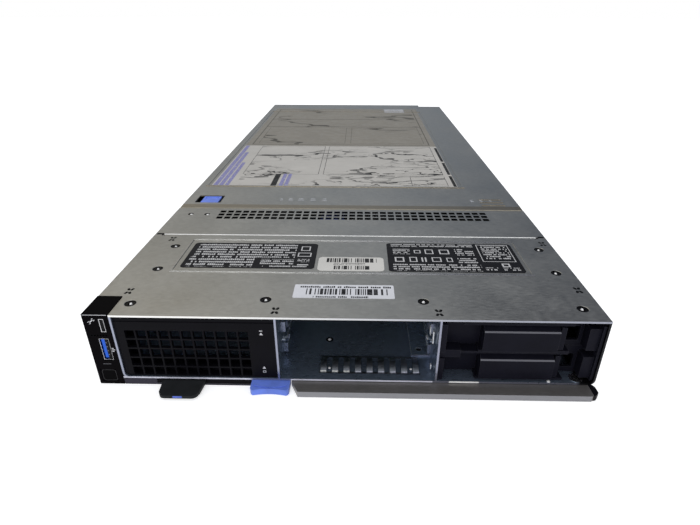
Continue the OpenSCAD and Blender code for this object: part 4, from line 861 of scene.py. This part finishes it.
def add_fold(name, x, y, z, radius, paint, body):
    """The rolled edge of a sheet: a round bead along the sheet, its ends closed."""
    bm = bmesh.new()
    end = bmesh.ops.create_circle(bm, cap_ends=True, segments=12, radius=radius * MM)["verts"]
    bmesh.ops.rotate(bm, cent=(0, 0, 0), matrix=Matrix.Rotation(math.radians(90), 3, "Y"), verts=end)
    bmesh.ops.translate(bm, vec=at(x[0], y, z), verts=end)
    push_out(bm, bm.faces[:], ((x[1] - x[0]) * MM, 0, 0))
    return finish_piece(name, bm, PAINTS[paint], body)


def cover_folds():
    """Rolled edges where the three covers meet: the front one in a painted highlight, the rear one in a painted
    warm reflection.
    """
    add_fold("front_cover_fold", (-119, 119), 94.6, TOP_MM - 0.22, 0.45, "fold_highlight", "chassis")
    add_fold("rear_cover_fold", (-123.5, 123.5), LID_MM + 0.1, TOP_MM - 0.2, 0.55, "fold_warm_reflection", "rear_lid")


def seam_end_shade():
    """Painted shade at the two ends of the seam between the front cover and the bridge."""
    for name, x in (("seam_shade_left", (-124.4, -119.6)), ("seam_shade_right", (120.4, 124.4))):
        bm = bmesh.new()
        add_print(bm, x, (94.3, 96.2), 0.4)
        finish_piece(name, bm, PAINTS["shade_black"])


def service_pictogram(face):
    """A short slanted bar between two open ends, on the control panel."""
    bm = bmesh.new()
    add_block(bm, (-1.4, -0.02, -0.32), (1.4, 0.02, 0.32))
    for x in (-1.9, 1.9):
        for z in (-0.72, 0.72):
            add_block(bm, (x - 0.6, -0.02, z - 0.2), (x + 0.6, 0.02, z + 0.2))
    bmesh.ops.scale(bm, vec=(0.75, 1, 0.8), verts=bm.verts[:])
    bmesh.ops.rotate(bm, cent=(0, 0, 0), matrix=Matrix.Rotation(math.radians(-40), 3, "Y"), verts=bm.verts[:])
    bmesh.ops.translate(bm, vec=at(-121.0, face - 0.02, 38.3), verts=bm.verts[:])
    finish_piece("service_pictogram", bm, PAINTS["white_print"])


def port_shade_and_contacts():
    """Painted shade in the hollows of the two ports, and the contacts beside the blue tongue."""
    usb_low, usb_high = place_of("usb_port")
    micro_low, micro_high = place_of("micro_usb_port")
    tongue_x = place_of("usb_tongue")[1][0]
    add_strip("usb_hollow_shade", (tongue_x + 0.1, 0.9, usb_low[2] + 0.5),
              (usb_high[0] - 0.5, 4.0, usb_high[2] - 0.5), "shade_black")
    bm = bmesh.new()
    for index in range(4):
        z = usb_low[2] + 2.7 + index * 2.4
        add_plate(bm, at(tongue_x + 0.3, 0.85, z), at(tongue_x + 0.8, 0.9, z + 0.6))
    finish_piece("usb_contacts", bm, PAINTS["grey_print"])
    add_strip("micro_usb_hollow_shade", (micro_low[0] + 0.5, 0.5, micro_low[2] + 0.7),
              (micro_high[0] - 0.5, 3.0, micro_high[2] - 0.7), "shade_black")


def port_sign(face):
    """Three short prongs printed beside the larger port."""
    low, high = place_of("usb_port")
    middle = (low[2] + high[2]) / 2
    bm = bmesh.new()
    for rise, reach in ((-0.9, 1.0), (0.0, 1.6), (0.9, 1.0)):
        add_plate(bm, at(high[0] + 0.4, face - 0.02, middle + rise - 0.22),
                  at(high[0] + 0.4 + reach, face + 0.02, middle + rise + 0.22))
    finish_piece("port_sign", bm, PAINTS["white_print"])


def power_key_print():
    """Faint outline round the black face of the power button."""
    (x0, front, z0), (x1, _, z1) = place_of("power_button")
    for name, inset, rise, radius, paint in (("power_outline", 0.5, 0.01, 1.2, "faint_print"),
                                             ("power_face", 0.68, 0.02, 1.05, "panel_black")):
        add_strip(name, (x0 + inset, front - rise, z0 + inset), (x1 - inset, front + 0.02, z1 - inset),
                  paint, "power_key", radius)


def panel_marks():
    """Printed marks and lines of the control panel, and the insides of its two ports, painted as shade."""
    low, high = place_of("control_panel")
    face = low[1]
    add_strip("panel_top_line", (low[0] + 0.4, face - 0.03, high[2] - 0.5),
              (high[0] - 0.3, face + 0.2, high[2] - 0.2), "white_print")
    service_pictogram(face)
    port_shade_and_contacts()
    port_sign(face)
    add_strip("panel_rule", (-121.0, face - 0.02, 12.6), (-117.0, face + 0.02, 12.85), "grey_print")
    power_key_print()


def bay_marks():
    """Bay numbers 1 and 0 with their pointers, turned on their side, on the vented blank."""
    face = place_of("bay_vent_blank")[0][1]
    for name, z, number in (("bay_mark_upper", 31.5, 1), ("bay_mark_lower", 11.0, 0)):
        bm = bmesh.new()
        pointer = bmesh.ops.create_circle(bm, cap_ends=True, segments=3, radius=1.0 * MM)["verts"]
        bmesh.ops.rotate(bm, cent=(0, 0, 0), matrix=Matrix.Rotation(math.radians(90), 3, "X"), verts=pointer)
        push_out(bm, bm.faces[:], (0, -0.04 * MM, 0))
        if number:
            add_block(bm, (-0.8, -0.04, 1.7), (0.8, 0, 2.1))
        else:
            for edge in (-1.9, -3.0):
                add_block(bm, (-0.8, -0.04, edge), (0.8, 0, edge + 0.3))
            for side in (-0.65, 0.65):
                add_block(bm, (side - 0.15, -0.04, -3.0), (side + 0.15, 0, -1.6))
        bmesh.ops.translate(bm, vec=at(-40.2, face - 0.01, z), verts=bm.verts[:])
        finish_piece(name, bm, PAINTS["white_print"])


def add_crown(bm, x, y, z, radius, height):
    """A low domed crown turned from its profile, in millimetres."""
    centre = at(x, y, z)
    points = [(0.0, height), (radius * 0.55, height * 0.86), (radius * 0.88, height * 0.5), (radius, 0.0)]
    verts = [bm.verts.new(Vector((out * MM, 0, up * MM)) + centre) for out, up in points]
    edges = [bm.edges.new(pair) for pair in zip(verts, verts[1:])]
    bmesh.ops.spin(bm, geom=verts + edges, cent=centre, axis=(0, 0, 1), angle=math.tau, steps=12, use_merge=True)


def finish_crowns(name, bm):
    bmesh.ops.remove_doubles(bm, verts=bm.verts[:], dist=1e-7)
    finish_piece(name, bm, PAINTS["crown_highlight"])


def screw_crowns():
    """Bright middles of the cover screws, and of the two pressed marks on the bridge: domes in a painted highlight
    colour.
    """
    places = [(x, y) for x in SCREW_X for y in SCREW_Y] + [(x, MIDDLE_SCREW_Y) for x in MIDDLE_SCREW_X]
    bm = bmesh.new()
    for x, y in places:
        add_crown(bm, x, y + 0.5, TOP_MM - 1.5, 0.95, 1.45)
    side = place_of("vent_bridge")[0][0]
    for x in BRIDGE_MARK_X:
        add_crown(bm, side + x, LID_MM - 12.0, TOP_MM - 0.5, 1.1, 0.5)
    finish_crowns("screw_crowns", bm)


def slot_shadows():
    """Painted shade along the front and rear edges of the bridge's slots."""
    bm = bmesh.new()
    for column in range(35):
        x = FIRST_SLOT_X + column * SLOT_PITCH
        ends = (x - SLOT_LENGTH / 2, x + SLOT_LENGTH / 2)
        for row in range(3):
            y = LID_MM - FIRST_ROW - row * ROW_PITCH
            for side in (-1.75, 1.75):
                add_print(bm, ends, (y + side - 0.2, y + side + 0.2))
    finish_piece("slot_edge_shade", bm, PAINTS["shade_black"])


def shear_shadows():
    """Painted shade on the floors of the pressed marks in the front cover: four slanted patches in each."""
    bm = bmesh.new()
    for x, y in SHEAR_PLACES:
        for sx in (-1, 1):
            for sy in (-1, 1):
                mid_x, mid_y = x + sx * 0.95, y + sy * 1.75
                add_print(bm, (mid_x - 0.7, mid_x + 0.7), (mid_y - 1.15, mid_y + 1.15), 0.5,
                          math.radians(-25 * sx * sy))
    finish_piece("shear_shade", bm, PAINTS["shade_black"])


def cage_floor_edge_highlights():
    """Painted highlight on the front edge of the cage floor in its three bays."""
    for name, x, paint in (("left", (-112.4, -47.5), "floor_edge_highlight"), ("middle", (-27, 44.2), "floor_edge_highlight"),
                           ("right", (52.5, 67.5), "fold_highlight")):
        add_strip("cage_floor_edge_highlight_" + name, (x[0], -0.06, 4.0), (x[1], 0.1, 4.9), paint)


def finger_tip_highlights():
    """Painted highlights on the bent tips of the spring fingers, brightest on the first three."""
    left, front, low = place_of("emi_finger_strip")[0]
    lit, plain = bmesh.new(), bmesh.new()
    for index in range(9):
        x = left + FIRST_FINGER + index * FINGER_PITCH
        add_plate(lit if index < 3 else plain, at(x - 1.5, front + 1.0, low + 0.45),
                  at(x + 1.5, front + 1.4, low + 0.75))
    finish_piece("finger_tip_highlights_bright", lit, PAINTS["finger_tip_highlight"])
    finish_piece("finger_tip_highlights", plain, PAINTS["floor_edge_highlight"])


def bay_rivets(low):
    """Rivets of the finger strip, and one in the cage floor, as domes in a painted highlight colour."""
    bm = bmesh.new()
    for x in (-8.0, 34.1):
        add_crown(bm, x, 8.5, low + 0.3, 0.75, 0.5)
    add_crown(bm, -9.4, 33.5, low, 1.0, 0.7)
    finish_crowns("bay_rivets", bm)


def floor_dimple_shade(low):
    """Painted shade: dark discs for the dimple round the floor's rivet, and for a hole."""
    bm = bmesh.new()
    for x, y, radius in ((-9.4, 33.5, 2.1), (39.5, 24.8, 2.0)):
        disc = bmesh.ops.create_circle(bm, cap_ends=True, segments=20, radius=radius * MM)["verts"]
        bmesh.ops.translate(bm, vec=at(x, y, low + 0.03), verts=disc)
        push_out(bm, list({face for vert in disc for face in vert.link_faces}), (0, 0, 0.1 * MM))
    finish_piece("floor_dimple_shade", bm, PAINTS["shade_black"])


def wall_glints():
    """Painted glints: bright plates where the bent tabs of the right divider catch the light."""
    wall = place_of("cage_divider_right")[0][0] + DIVIDER_FLANGE
    bm = bmesh.new()
    for y, z, deep, high in ((18.5, 22.8, 1.1, 2.6), (8.8, 25.4, 0.9, 3.6), (26.0, 13.8, 1.2, 2.0),
                             (8.7, 7.2, 0.9, 1.4)):
        add_plate(bm, at(wall, y - deep, z - high), at(wall + 0.5, y + deep, z + high), 0.4 * MM)
    finish_piece("wall_glints", bm, PAINTS["crown_highlight"])


def bay_details():
    """Small pieces inside the middle and right bays of the drive cage."""
    low = place_of("emi_finger_strip")[0][2]
    cage_floor_edge_highlights()
    finger_tip_highlights()
    bay_rivets(low)
    floor_dimple_shade(low)
    wall_glints()
    # a rivet dome in the right bay's floor, in a painted highlight colour
    bm = bmesh.new()
    add_crown(bm, 102.4, 1.0, low, 0.9, 0.6)
    finish_crowns("floor_rivet_right", bm)


def stamped_marks():
    """Faint stamped signs near the front edge of the rear cover, without letters."""
    bm = bmesh.new()
    for x, wide in ((-53, 2.2), (-46, 3.4), (-38, 4.6), (-29, 4.2), (-20, 3.0), (92, 2.6), (99, 2.2), (106, 1.6)):
        add_print(bm, (x - wide / 2, x + wide / 2), (LID_MM + 18, LID_MM + 18.7))
        add_print(bm, (x - wide / 2, x + wide / 3), (LID_MM + 21, LID_MM + 21.6))
    finish_piece("stamped_marks", bm, PAINTS["stamp_grey"], "rear_lid")


def tag_stripe():
    """Blue stripe on the front edge of the pull-out tag."""
    low, high = place_of("info_tag")
    add_strip("tag_stripe", (-83.8, low[1] - 0.02, low[2] + 0.3), (-79.2, low[1] + 0.4, high[2] - 0.2),
              "blue_stripe", "pull_tag")


rating_labels()
stock_labels()
service_sheet()
cover_folds()
seam_end_shade()
screw_crowns()
slot_shadows()
shear_shadows()
bay_details()
stamped_marks()
panel_marks()
bay_marks()
tag_stripe()
